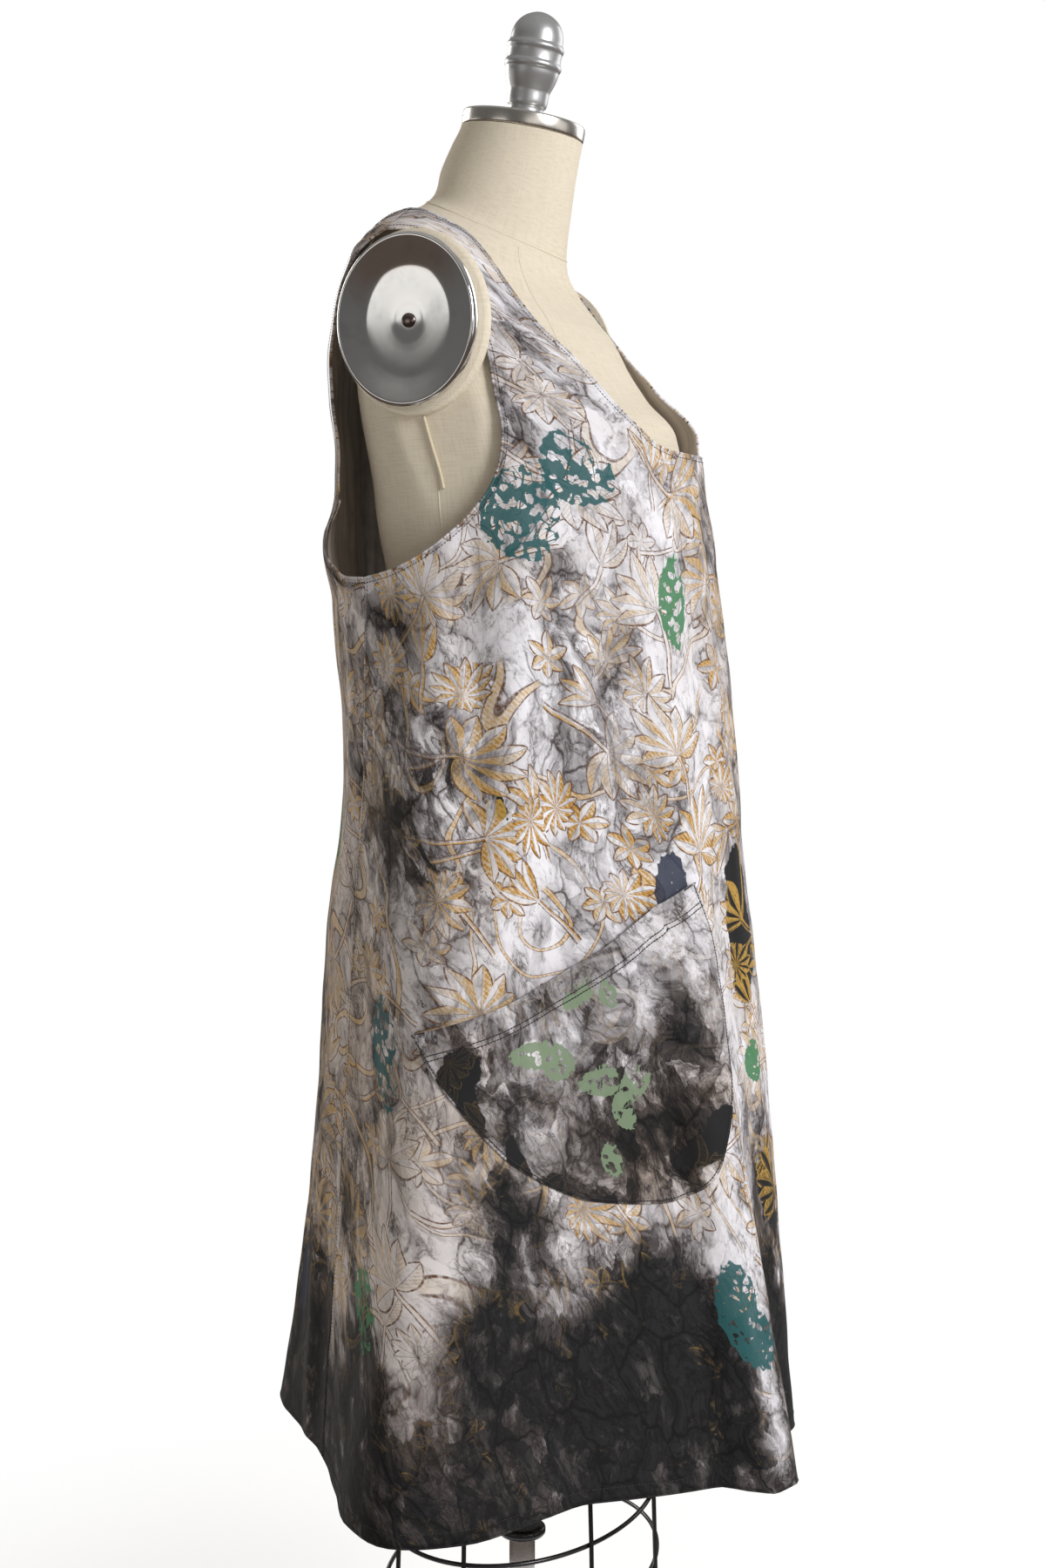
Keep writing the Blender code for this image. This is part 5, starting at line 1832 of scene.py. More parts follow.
@dataclass
class Pocket(SewnPiece):
    """The patch pocket: the front's own surface, moved out."""

    columns: int = 96
    rows: int = 64
    stand_off: float = 0.0018     # outside face, clear of the front
    gape: float = 0.0055          # extra lift of the open edge

    def build(self, front: BVHTree, materials: Sequence[Material]) -> Piece:
        """Make the pocket's shell on the front.

        Args:
            front: The front panel's faces.
            materials: The outside's material and the inside's.

        Returns:
            The pocket.
        """
        top = spaced_places(POCKET_TOP, 0, len(POCKET_TOP) - 1, self.columns)
        low = spaced_places(POCKET_OUTLINE, 0, len(POCKET_OUTLINE) - 1, self.columns)
        share = np.linspace(0.0, 1.0, self.rows + 1)
        grid = top[1:-1, None] + (low - top)[1:-1, None] * share[None, :, None]
        angle, height = grid[..., 0].ravel(), grid[..., 1].ravel()
        self.normals = surface_normals(cloth_points, angle, height)
        bare = cloth_points(angle, height)
        lift = self.stand_off + self.gape * (1.0 - np.tile(share, self.columns - 1)) ** 3
        points = []
        for i, start in enumerate(bare + self.normals * 0.02):
            hit = front.ray_cast(Vector(start), Vector(-self.normals[i]))[0]
            points.append(np.array(hit) + self.normals[i] * lift[i])
        self.points = np.array(points)
        shaped = self.points.reshape(self.columns - 1, self.rows + 1, 3)
        self.uv = self.flat_places(shaped).reshape(-1, 2)
        index = np.arange(len(angle)).reshape(self.columns - 1, self.rows + 1)
        self.edges = {
            "top": index[:, 0],
            "outline": np.concatenate((index[0], index[1:-1, -1], index[-1, ::-1])),
        }
        return self.shell(grid_quads(self.columns - 1, self.rows + 1), materials, thickness=0.0011)

    @staticmethod
    def flat_places(shaped: Array) -> Array:
        """Return flat cloth coordinates: u along the open edge, v up from the lowest point.

        Args:
            shaped: The grid of points, columns x rows x 3.

        Returns:
            The grid of flat places.
        """
        top = shaped[:, 0]
        along = unit(top[-1] - top[0])
        middle = shaped[len(shaped) // 2, 0]
        down = unit(np.cross(np.cross(along, shaped[len(shaped) // 2, -1] - middle), along))
        away = shaped - middle
        u = away @ along
        bend = np.sqrt(np.maximum((away**2).sum(-1) - (away @ down) ** 2, 0.0))
        v = -(away @ down)
        return np.stack((np.sign(u) * bend, v - v.min()), axis=-1)


@dataclass
class Dress:
    """The apron dress: two panels, the pocket, and their edges and stitches."""

    body: BVHTree
    stitches: StitchTree
    groups: ClothGroups
    opening_rim: float = 0.00125      # radius of the turned neckline and armholes
    hem_rim: float = 0.00105
    opening_inset: float = 0.0042     # of the topstitching from the edge
    hem_inset: float = 0.011
    seam_inset: float = 0.003
    overlock_inset: float = 0.0065
    pocket_rims: tuple = (("top", 0.00105), ("outline", 0.00085))
    # The outline row sits at the very edge, where its thick thread also paints the edge's shadow line.
    pocket_insets: tuple = (("outline", 0.002), ("top", 0.019), ("top", 0.0232))
    made: dict[str, list[Piece]] = field(init=False, default_factory=dict)

    FRONT_PRINTS = lace_prints(
        (-0.212, 0.84, 0.04, 0.046, 0.25, 0.15, TEAL), (-0.156, 0.878, 0.034, 0.036, -0.55, 0.17, TEAL),
        (-0.068, 0.775, 0.02, 0.046, 0.2, 0.15, FERN), (-0.124, 0.512, 0.018, 0.042, 0.1, 0, NAVY),
        (-0.14, 0.15, 0.026, 0.05, -0.2, 0.09, TEAL), (-0.01, 0.345, 0.014, 0.02, 0, 0.06, FERN),
        (-0.43, 0.385, 0.024, 0.05, 0.15, 0.18, TEAL), (-0.52, 0.17, 0.03, 0.036, 0.6, 0.2, FERN),
        (0.185, 0.56, 0.03, 0.055, -0.3, 0.17, TEAL), (0.255, 0.33, 0.034, 0.046, 0.6, 0.18, FERN),
        (0.12, 0.86, 0.034, 0.04, 0.3, 0.19, TEAL), (0.42, 0.24, 0.034, 0.052, -0.5, 0.16, TEAL),
        (0.33, 0.64, 0.02, 0.034, 0.2, 0, NAVY),
    )
    BACK_PRINTS = lace_prints(
        (0.12, 0.64, 0.034, 0.054, 0.35, 0.18, TEAL), (-0.06, 0.42, 0.034, 0.045, -0.4, 0.19, TEAL),
        (0.15, 0.23, 0.03, 0.04, 0.7, 0.18, FERN), (-0.19, 0.56, 0.03, 0.046, 0.1, 0.16, FERN),
        (0.03, 0.86, 0.03, 0.036, -0.2, 0.19, TEAL), (-0.12, 0.13, 0.022, 0.034, 0.2, 0, NAVY),
    )
    POCKET_PRINTS = lace_prints(
        (-0.06, 0.176, 0.022, 0.012, 0.5, 0.12, SAGE), (-0.04, 0.16, 0.015, 0.021, -0.3, 0.1, SAGE),
        (0.004, 0.202, 0.019, 0.01, -0.25, 0.13, SAGE), (0.027, 0.19, 0.009, 0.014, 0.2, 0.12, SAGE),
        (-0.012, 0.126, 0.02, 0.014, 0.4, 0.12, SAGE), (0.014, 0.108, 0.021, 0.013, -0.5, 0.14, SAGE),
        (-0.004, 0.092, 0.01, 0.018, 0, 0.11, SAGE), (-0.032, 0.06, 0.01, 0.017, 0.1, 0.13, SAGE),
    )

    FRONT_DYE = DyeAndPaintedLight(
        tone=(
            # Right side, from the armhole down.
            (-0.38, 0.565, 0.042, 0.065, 0.72), (-0.345, 0.745, 0.03, 0.036, 0.5),
            (-0.33, 0.66, 0.05, 0.05, 0.25), (-0.175, 0.775, 0.045, 0.03, 0.26),
            # Painted light: the narrow upright places at (-0.228, 0.72) and (-0.078, 0.68) are painted highlights
            # along the crests of two folds, and (-0.15, 0.67) is painted shade in the valley beside the front fold.
            (-0.085, 0.88, 0.035, 0.026, 0.28), (-0.15, 0.67, 0.026, 0.07, 0.3),
            (-0.2, 0.85, 0.08, 0.045, -0.3), (-0.228, 0.72, 0.026, 0.15, -0.35),
            (-0.205, 0.6, 0.06, 0.06, -0.22), (-0.078, 0.68, 0.028, 0.2, -0.45),
            (-0.26, 0.45, 0.06, 0.05, -0.15), (-0.31, 0.4, 0.035, 0.04, 0.3),
            (-0.35, 0.29, 0.05, 0.05, 0.3), (-0.44, 0.35, 0.03, 0.08, 0.2),
            # The lower part and the hem.
            (-0.225, 0.12, 0.06, 0.064, 1.1), (-0.205, 0.19, 0.04, 0.032, 0.55),
            (-0.335, 0.24, 0.045, 0.055, 0.8), (-0.37, 0.165, 0.035, 0.04, 0.4),
            (-0.462, 0.165, 0.036, 0.075, -0.7), (-0.415, 0.245, 0.028, 0.04, -0.35),
            # The narrow lighter place at (-0.132, 0.095) is a painted highlight along a fold's crest at the hem.
            (-0.56, 0.23, 0.026, 0.04, 0.6), (-0.132, 0.095, 0.018, 0.1, -0.75),
            (-0.02, 0.19, 0.04, 0.12, 0.7),
            # The left side.
            (0.08, 0.62, 0.06, 0.12, 0.45), (0.26, 0.48, 0.07, 0.1, 0.6), (0.2, 0.84, 0.05, 0.06, 0.35),
            (0.36, 0.7, 0.06, 0.09, 0.5), (0.15, 0.33, 0.06, 0.07, 0.4), (0.45, 0.4, 0.06, 0.1, 0.45),
            (0.33, 0.16, 0.05, 0.07, -0.8), (0.54, 0.23, 0.05, 0.06, 0.55), (0.22, 0.7, 0.05, 0.08, -0.3),
        ),
        # Painted warm shade, broad along both sides, with smaller warm patches.
        warm=(
            (-0.52, 0.5, 0.13, 0.5, 1), (-0.3, 0.33, 0.1, 0.09, 0.35), (0.02, 0.7, 0.055, 0.25, 0.35),
            (0.5, 0.5, 0.12, 0.45, 0.9), (0.15, 0.25, 0.12, 0.1, 0.3),
        ),
        night=(
            (-0.012, 0.47, 0.03, 0.085, 1), (0, 0.23, 0.03, 0.06, 0.85), (-0.27, 0.59, 0.006, 0.018, 0.95),
            (0.3, 0.56, 0.03, 0.06, 0.8),
        ),
        inked=(
            (-0.18, 0.56, 0.09, 0.07, 0.75), (-0.35, 0.74, 0.06, 0.1, 0.4), (0, 0.6, 0.04, 0.2, 0.6),
            (-0.3, 0.3, 0.05, 0.06, 0.45), (-0.38, 0.5, 0.05, 0.06, 0.5), (0.25, 0.62, 0.09, 0.12, 0.7),
            (0.45, 0.3, 0.08, 0.12, 0.5), (-0.15, 0.805, 0.07, 0.06, -0.6), (-0.19, 1.02, 0.11, 0.13, -0.8),
            (0.19, 1.02, 0.11, 0.13, -0.8), (-0.44, 0.3, 0.04, 0.12, -0.35),
            (-0.46, 0.11, 0.08, 0.11, -0.8), (-0.09, 0.7, 0.03, 0.05, -0.4),
        ),
        hem_full=0.085, hem_clear=0.205, hem_sway=0.03,
    )
    BACK_DYE = DyeAndPaintedLight(
        tone=(
            (0.15, 0.66, 0.05, 0.1, 0.6), (0.06, 0.48, 0.055, 0.08, 0.5), (-0.12, 0.62, 0.06, 0.1, 0.5),
            (-0.04, 0.83, 0.07, 0.05, 0.35), (0.17, 0.32, 0.05, 0.07, 0.45), (-0.16, 0.36, 0.05, 0.08, 0.5),
            (0, 0.15, 0.05, 0.06, -0.5),
        ),
        # Painted warm shade over the whole back.
        warm=((0.0, 0.55, 0.5, 0.8, 0.85),),
        night=((-0.1, 0.74, 0.02, 0.04, 0.85),),
        hem_full=0.08, hem_clear=0.23,
    )
    POCKET_DYE = DyeAndPaintedLight(
        tone=(
            (0, 0.13, 0.2, 0.12, 0.44), (-0.01, 0.056, 0.1, 0.05, 0.46), (0.078, 0.14, 0.022, 0.026, 0.5),
            (-0.09, 0.18, 0.03, 0.04, 0.22), (0.03, 0.165, 0.04, 0.03, -0.26),
            (0, 0.216, 0.09, 0.012, 0.18),
        ),
        # Painted warm shade, warmer towards the pocket's bottom.
        warm=((0.03, 0.06, 0.09, 0.06, 0.8),),
        night=(
            (-0.12, 0.198, 0.024, 0.022, 0.92), (-0.13, 0.158, 0.012, 0.024, 0.85),
            (-0.11, 0.106, 0.01, 0.034, 0.9), (-0.086, 0.062, 0.014, 0.026, 0.92),
            (-0.056, 0.03, 0.018, 0.012, 0.8), (0.044, 0.028, 0.04, 0.014, 0.95),
            (0.074, 0.042, 0.02, 0.018, 0.9),
        ),
        inked=((0.06, 0.15, 0.06, 0.04, 0.5),),
        hem_full=-2.0, hem_clear=-1.0, hem_sway=0.0,
    )

    def build(self) -> None:
        """Make every piece of the dress."""
        inside = WrongSide("wrong_side").material(self.groups)
        front_cloth = DyedCottonWithPaintedLight("dyed_front", self.FRONT_PRINTS).material(self.groups)
        back_cloth = DyedCottonWithPaintedLight("dyed_back", self.BACK_PRINTS, ink=0.8, offset=(3.1, 0.7, 0.0),
                                # The back's painted warm shade is deeper.
                                palette=Palette(earth=(0.6, 0.46, 0.33))).material(self.groups)
        pocket_cloth = DyedCottonWithPaintedLight("dyed_pocket", self.POCKET_PRINTS, ink=0.14, drawing=0.3,
                                  offset=(7.3, 2.9, 0.0),
                                  palette=Palette(gold=(0.17, 0.11, 0.035))).material(self.groups)

        front = Panel("front_panel", self.FRONT_DYE, FRONT_ARMHOLE, FRONT_NECKLINE, middle=0.0)
        back = Panel("back_panel", self.BACK_DYE, BACK_ARMHOLE, BACK_NECKLINE, middle=180.0,
                     flank=22, strap=18, neck=18)
        self.make_panel("front", front, (front_cloth, inside))
        self.make_panel("back", back, (back_cloth, inside))
        self.side_seams(front)
        self.overlock(back)
        self.make_pocket(front.tree, (pocket_cloth, inside))

    def keep(self, label: str, *pieces: Piece) -> None:
        """Keep pieces with the cut piece that they belong to, and report them."""
        for piece in pieces:
            self.made.setdefault(label, []).append(piece)
            LOG.info("made %s", piece.name)

    def make_panel(self, label: str, panel: Panel, materials: tuple[Material, Material]) -> None:
        """Make a panel, its turned edges and its topstitching.

        Args:
            label: What the panel is called.
            panel: The panel.
            materials: The materials of its right side and its wrong side.
        """
        sheet = panel.build(self.body, materials)
        openings = ("armhole_right", "armhole_left", "neckline")
        rims = [
            panel.rim("%s_%s_rim" % (label, edge), edge, materials[0], self.opening_rim)
            for edge in openings
        ]
        rims.append(panel.rim("%s_hem_rim" % label, "hem", materials[0], self.hem_rim))
        rows = [panel.inset_row(edge, self.opening_inset) for edge in openings]
        rows.append(panel.inset_row("hem", self.hem_inset))
        stitches = self.stitches.sew("%s_topstitch" % label, rows, panel.tree, TOPSTITCH)
        self.keep(label, sheet, *rims, stitches)

    def side_seams(self, front: Panel) -> None:
        """Sew the flat stitches beside the two side seams."""
        rows = [front.inset_row(edge, self.seam_inset) for edge in ("side_right", "side_left")]
        self.keep("front", self.stitches.sew("side_seam_stitches", rows, front.tree, SIDE_STITCH))

    def overlock(self, back: Panel) -> None:
        """Sew the overlock inside the back's neckline and armholes.

        Args:
            back: The back panel.
        """
        rows, depth = [], CLOTH_THICKNESS + 0.0002
        for edge in ("neckline", "armhole_right", "armhole_left"):
            path = back.inset_row(edge, self.overlock_inset)
            nearest = [back.tree.find_nearest(Vector(point)) for point in path]
            rows.append(np.array([near - normal * depth for near, normal, _, _ in nearest]))
        self.keep("back", self.stitches.sew("back_overlock", rows, back.tree, OVERLOCK))

    def make_pocket(self, front: BVHTree, materials: tuple[Material, Material]) -> None:
        """Make the pocket, its turned edges, its rows of stitches and its bartacks.

        Args:
            front: The front panel's faces.
            materials: The materials of its right side and its wrong side.
        """
        pocket = Pocket("pocket_patch", self.POCKET_DYE)
        sheet = pocket.build(front, materials)
        rims = [pocket.rim("pocket_%s_rim" % edge, edge, materials[0], radius, 8)
                for edge, radius in self.pocket_rims]
        rows = [pocket.inset_row(edge, inset) for edge, inset in self.pocket_insets]
        stitches = self.stitches.sew("pocket_stitches", rows, pocket.tree, POCKET_STITCH_AND_SHADOW_LINE)
        tacks = []
        for end, beside in ((0, 3), (-1, -4)):
            index, inner = pocket.edges["top"][end], pocket.edges["top"][beside]
            along = unit(pocket.points[inner] - pocket.points[index])
            start = pocket.points[index] + along * 0.004 + pocket.normals[index] * 0.0004
            tacks.append(start + np.linspace(0.0, 0.009, 8)[:, None] * along)
        bars = self.stitches.sew("pocket_bartacks", tacks, pocket.tree, BARTACK)
        self.keep("pocket", sheet, *rims, stitches, bars)

    def declare(self, torso: Piece) -> None:
        """Tell the frame what each cloth piece replaces, its cut and how it hangs.

        Args:
            torso: What the panels rest on.
        """
        for label, node, slot in (("front", "front", Slot.FRONT), ("back", "back", Slot.BACK),
                                  ("pocket", "pocket_right", Slot.POCKET)):
            for piece in self.made[label]:
                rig.ride(piece, "root")
                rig.slot(piece, slot.value)
            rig.replaces(self.made[label][0], node)
        front, back, pocket = (self.made[label] for label in ("front", "back", "pocket"))
        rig.sheet(front[0], (1.33, 1.23), "draped", rests_on=torso, area=0.94, with_pieces=front[1:])
        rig.sheet(back[0], (0.77, 1.18), "draped", rests_on=torso, area=0.46, with_pieces=back[1:])
        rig.sheet(pocket[0], (0.29, 0.22), "hung", rests_on=front[0], area=0.054, with_pieces=pocket[1:])


# --- The dress form ---

# Stations of turned pieces: height, radius.
FINIAL = np.array((
    (0, 0.0176), (0.003, 0.0178), (0.0052, 0.0165), (0.0085, 0.0155), (0.0112, 0.0162), (0.0126, 0.0186),
    (0.0238, 0.0188), (0.0258, 0.0192), (0.033, 0.0222), (0.04, 0.0243), (0.044, 0.0246), (0.0455, 0.0258),
    (0.0478, 0.0266), (0.0502, 0.0258), (0.0515, 0.0247), (0.0602, 0.0248), (0.0616, 0.0258),
    (0.064, 0.0266), (0.0664, 0.0257), (0.0678, 0.0244), (0.076, 0.024), (0.084, 0.0212), (0.0905, 0.0155),
    (0.0945, 0.008), (0.096, 0.0015),
))
# The dished arm plate: distance out, share of its outline.
PLATE_PROFILE = np.array((
    (0, 0.93), (0.004, 0.985), (0.0085, 1), (0.013, 0.993), (0.0153, 0.974), (0.0159, 0.954),
    (0.0152, 0.92), (0.0128, 0.82), (0.01, 0.71), (0.0083, 0.63), (0.0077, 0.56), (0.0073, 0.44),
    (0.007, 0.31), (0.0068, 0.235), (0.0062, 0.16), (0.006, 0.11),
))
UPRIGHT = Matrix.Identity(4)
BOTH = (-1.0, 1.0)
# Seams of the linen as angle and height, and the sides that each is on.
SEAMS = (
    (((33.0, 0.705), (33.0, 1.1), (36.0, 1.28), (38.0, 1.42), (47.0, 1.51)), BOTH),
    (((150.0, 0.705), (150.0, 1.1), (146.0, 1.3), (140.0, 1.44), (132.0, 1.5)), BOTH),
    (((0.0, 0.705), (0.0, 1.2), (0.0, 1.505)), (1.0,)),
    (((180.0, 0.705), (180.0, 1.2), (180.0, 1.505)), (1.0,)),
    (((92.0, 0.705), (93.0, 1.05), (94.0, 1.315)), BOTH),
)


@dataclass(frozen=True)
class Turned:
    """One turned piece of the stand."""

    name: str
    node: str
    slot: Slot
    stations: tuple
    sides: int
    smooth: int = 1


TURNED = (
    Turned("support_tube_fine", "support_tube", Slot.BLACK,
           ((0.2833, 0.0185), (0.6997, 0.0185)), 64, 0),
    Turned("collar_fine", "collar", Slot.BLACK,
           ((0.275, 0.0211), (0.2765, 0.0226), (0.2815, 0.0226), (0.283, 0.0211)), 80),
    Turned("pole_fine", "pole", Slot.STEEL,
           ((0.0503, 0.0124), (0.2747, 0.0124)), 64, 0),
    Turned("base_socket_fine", "base_socket", Slot.BLACK,
           ((0.0163, 0.032), (0.026, 0.026), (0.0485, 0.02), (0.05, 0.0185)), 72, 2),
    Turned("base_plate_fine", "base_plate", Slot.BLACK,
           ((0.0, 0.197), (0.003, 0.2), (0.011, 0.2), (0.016, 0.19)), 160, 2),
)


def oval_rings(side: float, stations: Array, half_y: float, half_z: float, sides: int) -> Array:
    """Return upright ovals on one side of the form.

    Args:
        side: -1 for the wearer's right, 1 for the left.
        stations: The distance out and the size of each oval.
        half_y: Half the width at size 1.
        half_z: Half the height at size 1.
        sides: Points in an oval.

    Returns:
        The ovals.
    """
    turn = 2.0 * math.pi * np.arange(sides) / sides
    distance, size = stations[:, 0, None], stations[:, 1, None]
    rings = np.stack((
        np.broadcast_to(side * distance, (len(stations), sides)),
        ARM_CENTRE[0] + half_y * size * np.cos(turn),
        ARM_CENTRE[1] + half_z * size * np.sin(turn),
    ), axis=-1)
    return rings if side > 0.0 else rings[:, ::-1]


@dataclass
class Form:
    """The limbless dress form and its stand."""

    linen: Material
    steel: Material
    brushed: Material
    silver: Material
    black: Material
    screw: Material
    cord: Material
    screw_radius: float = 0.0062
    ridge_radius: float = 0.0009
    strand_radius: float = 0.00078
    cord_lay: float = 0.0052      # the length in which a strand goes round once
    wire_radius: float = 0.0021
    torso: Piece = field(init=False)

    @staticmethod
    def settle(piece: Piece, slot: Slot, *nodes: str) -> None:
        """Ride a piece on the root, give it its slot and say what it replaces.

        Args:
            piece: The piece.
            slot: Its material slot.
            nodes: The nodes that it replaces, if any.
        """
        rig.ride(piece, "root")
        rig.slot(piece, slot.value)
        if nodes:
            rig.replaces(piece, *nodes)
        LOG.info("made %s", piece.name)

    def build(self) -> None:
        """Make every piece of the form."""
        self.make_torso()
        self.make_neck()
        for side, name in ((-1.0, "right"), (1.0, "left")):
            self.make_arm(side, name)
        self.make_seams()
        self.make_cord()
        self.make_cage()
        for row in TURNED:
            stations = rounded(np.array(row.stations), row.smooth)
            material = self.steel if row.slot is Slot.STEEL else self.black
            piece = loft(row.name, turned_rings(stations, row.sides, UPRIGHT), material)
            self.settle(piece, row.slot, row.node)

    def make_torso(self) -> None:
        """Make the linen torso and neck."""
        sides, levels = 176, 190
        low, high = FIGURE[0, 0], FIGURE[-1, 0]
        share = np.linspace(0.0, 1.0, levels + 1)
        heights = low + (high - low) * (1.0 - (1.0 - share) ** 1.35)
        angle = -360.0 * np.arange(sides) / sides
        rings = np.stack([figure_points(angle, np.full(sides, height)) for height in heights])
        u = np.broadcast_to(np.abs(turned_apart(angle, 0.0)) * 0.0026, rings.shape[:2])
        uv = np.stack((u, np.broadcast_to(heights[:, None], rings.shape[:2])), axis=-1)
        self.torso = loft("torso_linen", rings, self.linen, uvs=uv.reshape(-1, 2))
        self.settle(self.torso, Slot.LINEN, "torso")

    def make_neck(self) -> None:
        """Make the neck's metal ring and the knob on it."""
        place = Matrix.Translation(NECK_TOP) @ Matrix.Rotation(math.radians(NECK_TILT), 4, "X")
        edge = 0.0012
        ring = np.array((
            (FIT_GAP, NECK_RING_RADIUS - edge), (FIT_GAP + edge, NECK_RING_RADIUS),
            (NECK_RING_HEIGHT - edge, NECK_RING_RADIUS), (NECK_RING_HEIGHT, NECK_RING_RADIUS - edge),
        ))
        piece = loft("neck_ring_fine", turned_rings(rounded(ring), 128, place), self.brushed)
        self.settle(piece, Slot.STEEL, "neck_ring")
        knob = FINIAL + (NECK_RING_HEIGHT + FIT_GAP, 0.0)
        piece = loft("finial_fine", turned_rings(rounded(knob), 96, place), self.silver, 60.0)
        self.settle(piece, Slot.SILVER, "finial")

    def make_arm(self, side: float, name: str) -> None:
        """Make the linen cap, the polished dish and its screw on one side.

        Args:
            side: -1 for the wearer's right, 1 for the left.
            name: The side's name.
        """
        inner = ARM_CUT_X + FIT_GAP
        outer = inner + CAP_THICKNESS
        half = (PLATE_HALF[0] + CAP_MARGIN, PLATE_HALF[1] + CAP_MARGIN)
        edge = 0.0025 / half[0]
        cap = np.array(((inner, 1.0), (outer - 0.0025, 1.0), (outer, 1.0 - edge)))
        rings = oval_rings(side, rounded(cap), *half, 144)
        uv = rings.reshape(-1, 3)[:, 1:]
        piece = loft("shoulder_cap_%s_linen" % name, rings, self.linen, uvs=uv)
        self.settle(piece, Slot.LINEN, "shoulder_cap_" + name)
        foot = outer + FIT_GAP
        dish = rounded(PLATE_PROFILE, 3) + (foot, 0.0)
        piece = loft("arm_plate_%s_fine" % name, oval_rings(side, dish, *PLATE_HALF, 176), self.steel, 70.0)
        self.settle(piece, Slot.STEEL, "arm_plate_" + name)
        screw = foot + PLATE_PROFILE[-1, 0] + FIT_GAP
        radius = self.screw_radius
        head = np.array(((screw, radius), (screw + 0.0012, radius), (screw + 0.0024, radius - 0.0022)))
        rings = oval_rings(side, rounded(head, 3), 1.0, 1.0, 48)
        piece = loft("plate_screw_%s_fine" % name, rings, self.screw)
        self.settle(piece, Slot.SILVER, "plate_screw_" + name)

    @staticmethod
    def path_on(rows: Array, count: int, lift: float) -> Array:
        """Return a path along the figure.

        Args:
            rows: Angles and heights that it runs through.
            count: How many points it has.
            lift: How far it lies off the figure.

        Returns:
            The path.
        """
        places = read_rows(rows, np.linspace(0.0, len(rows) - 1.0, count)).T
        return figure_points(*places) + surface_normals(figure_points, *places) * lift

    def make_seams(self) -> None:
        """Make the linen's fine ridges at its seams: the neck's base and the princess lines."""
        around = np.linspace(0.0, 360.0, 181)[:-1]
        level = 1.5125 + 0.003 * np.cos(np.radians(around))
        parts = [tube(figure_points(around, level), self.ridge_radius, 8, closed=True)]
        for line, sides in SEAMS:
            for side in sides:
                path = self.path_on(np.array(line) * (side, 1.0), 150, -0.0004)
                parts.append(tube(path, self.ridge_radius, 6))
        points, faces = joined(parts)
        piece = make_piece("linen_seams", points, faces, [self.linen], uvs=points[:, 1:])
        self.settle(piece, Slot.LINEN)

    def make_cord(self) -> None:
        """Make the tacked cord as three strands laid round one another."""
        middle = self.path_on(CORD_PLACES, 220, 0.0017)
        side, up = path_frames(middle)
        run = running_length(middle, 0)
        parts = []
        for strand in range(3):
            turn = run / self.cord_lay * 2.0 * math.pi + strand * 2.0 * math.pi / 3.0
            path = middle + 0.00072 * (side * np.cos(turn)[:, None] + up * np.sin(turn)[:, None])
            parts.append(tube(path, self.strand_radius, 8))
        points, faces = joined(parts)
        self.settle(make_piece("side_cord_strands", points, faces, [self.cord]), Slot.CORD, "side_cord")

    def make_cage(self) -> None:
        """Make the wire hoops and the uprights of the skirt frame."""
        radius = self.wire_radius
        around = -360.0 * np.arange(160) / 160
        for number, row in enumerate(CAGE[1:], 1):
            path = section_points(CAGE[::-1], around, np.full(160, row[0]))
            points, faces = tube(path, radius, 14, closed=True)
            piece = make_piece("cage_hoop_%d_fine" % number, points, faces, [self.black])
            self.settle(piece, Slot.BLACK, "cage_hoop_%d" % number)
        for number, angle in enumerate(WIRE_ANGLES, 1):
            path = section_points(CAGE[::-1], np.full(len(CAGE), angle), CAGE[:, 0])
            outward = path * (1.0, 1.0, 0.0)
            path = path + unit(outward) * (2.0 * radius + FIT_GAP)
            path[0] = section_points(CAGE[::-1], np.array((angle,)), CAGE[:1, 0])[0]
            path[0, 2] = 0.7 - FIT_GAP
            path[-1, 2] -= radius
            points, faces = tube(path, radius, 14)
            piece = make_piece("cage_wire_%02d_fine" % number, points, faces, [self.black], flat_angle=50.0)
            self.settle(piece, Slot.BLACK, "cage_wire_%02d" % number)


# --- Floor, lights and camera ---

WHITE = (1.0, 1.0, 1.0, 1.0)
WINDOWS = 6
WINDOW_TURN = -0.12
# The round wall for the metals: height, radius.
WALL = np.array(((0.02, 0.5), (0.02, 3.2), (0.3, 4.2), (3.6, 4.2), (4.6, 3.0), (5.0, 0.2)))


def blank_tree(data: Union[Material, bpy.types.World]) -> Graph:
    """Return a Graph for the emptied tree of a material or a world."""
    data.use_nodes = True
    data.node_tree.nodes.clear()
    return Graph(data.node_tree)


def aimed(place: Sequence[float], way: Vector) -> Matrix:
    """Return the matrix of a lamp or a camera at a place that looks one way."""
    return Matrix.Translation(place) @ way.to_track_quat("-Z", "Y").to_matrix().to_4x4()


@dataclass(frozen=True)
class Lamp:
    """One area lamp aimed at a point."""

    name: str
    place: tuple
    aim: tuple
    size: float
    power: float
    colour: Colour
    mirrored: bool = True     # whether it shows in the metals

    def hang(self) -> None:
        """Hang the lamp in the scene."""
        light = bpy.data.lights.new(self.name, "AREA")
        light.shape = "DISK"
        light.size = self.size
        light.energy = self.power
        light.color = self.colour
        holder = bpy.data.objects.new(self.name, light)
        holder.matrix_world = aimed(self.place, Vector(self.aim) - Vector(self.place))
        holder.visible_glossy = self.mirrored
        bpy.context.scene.collection.objects.link(holder)


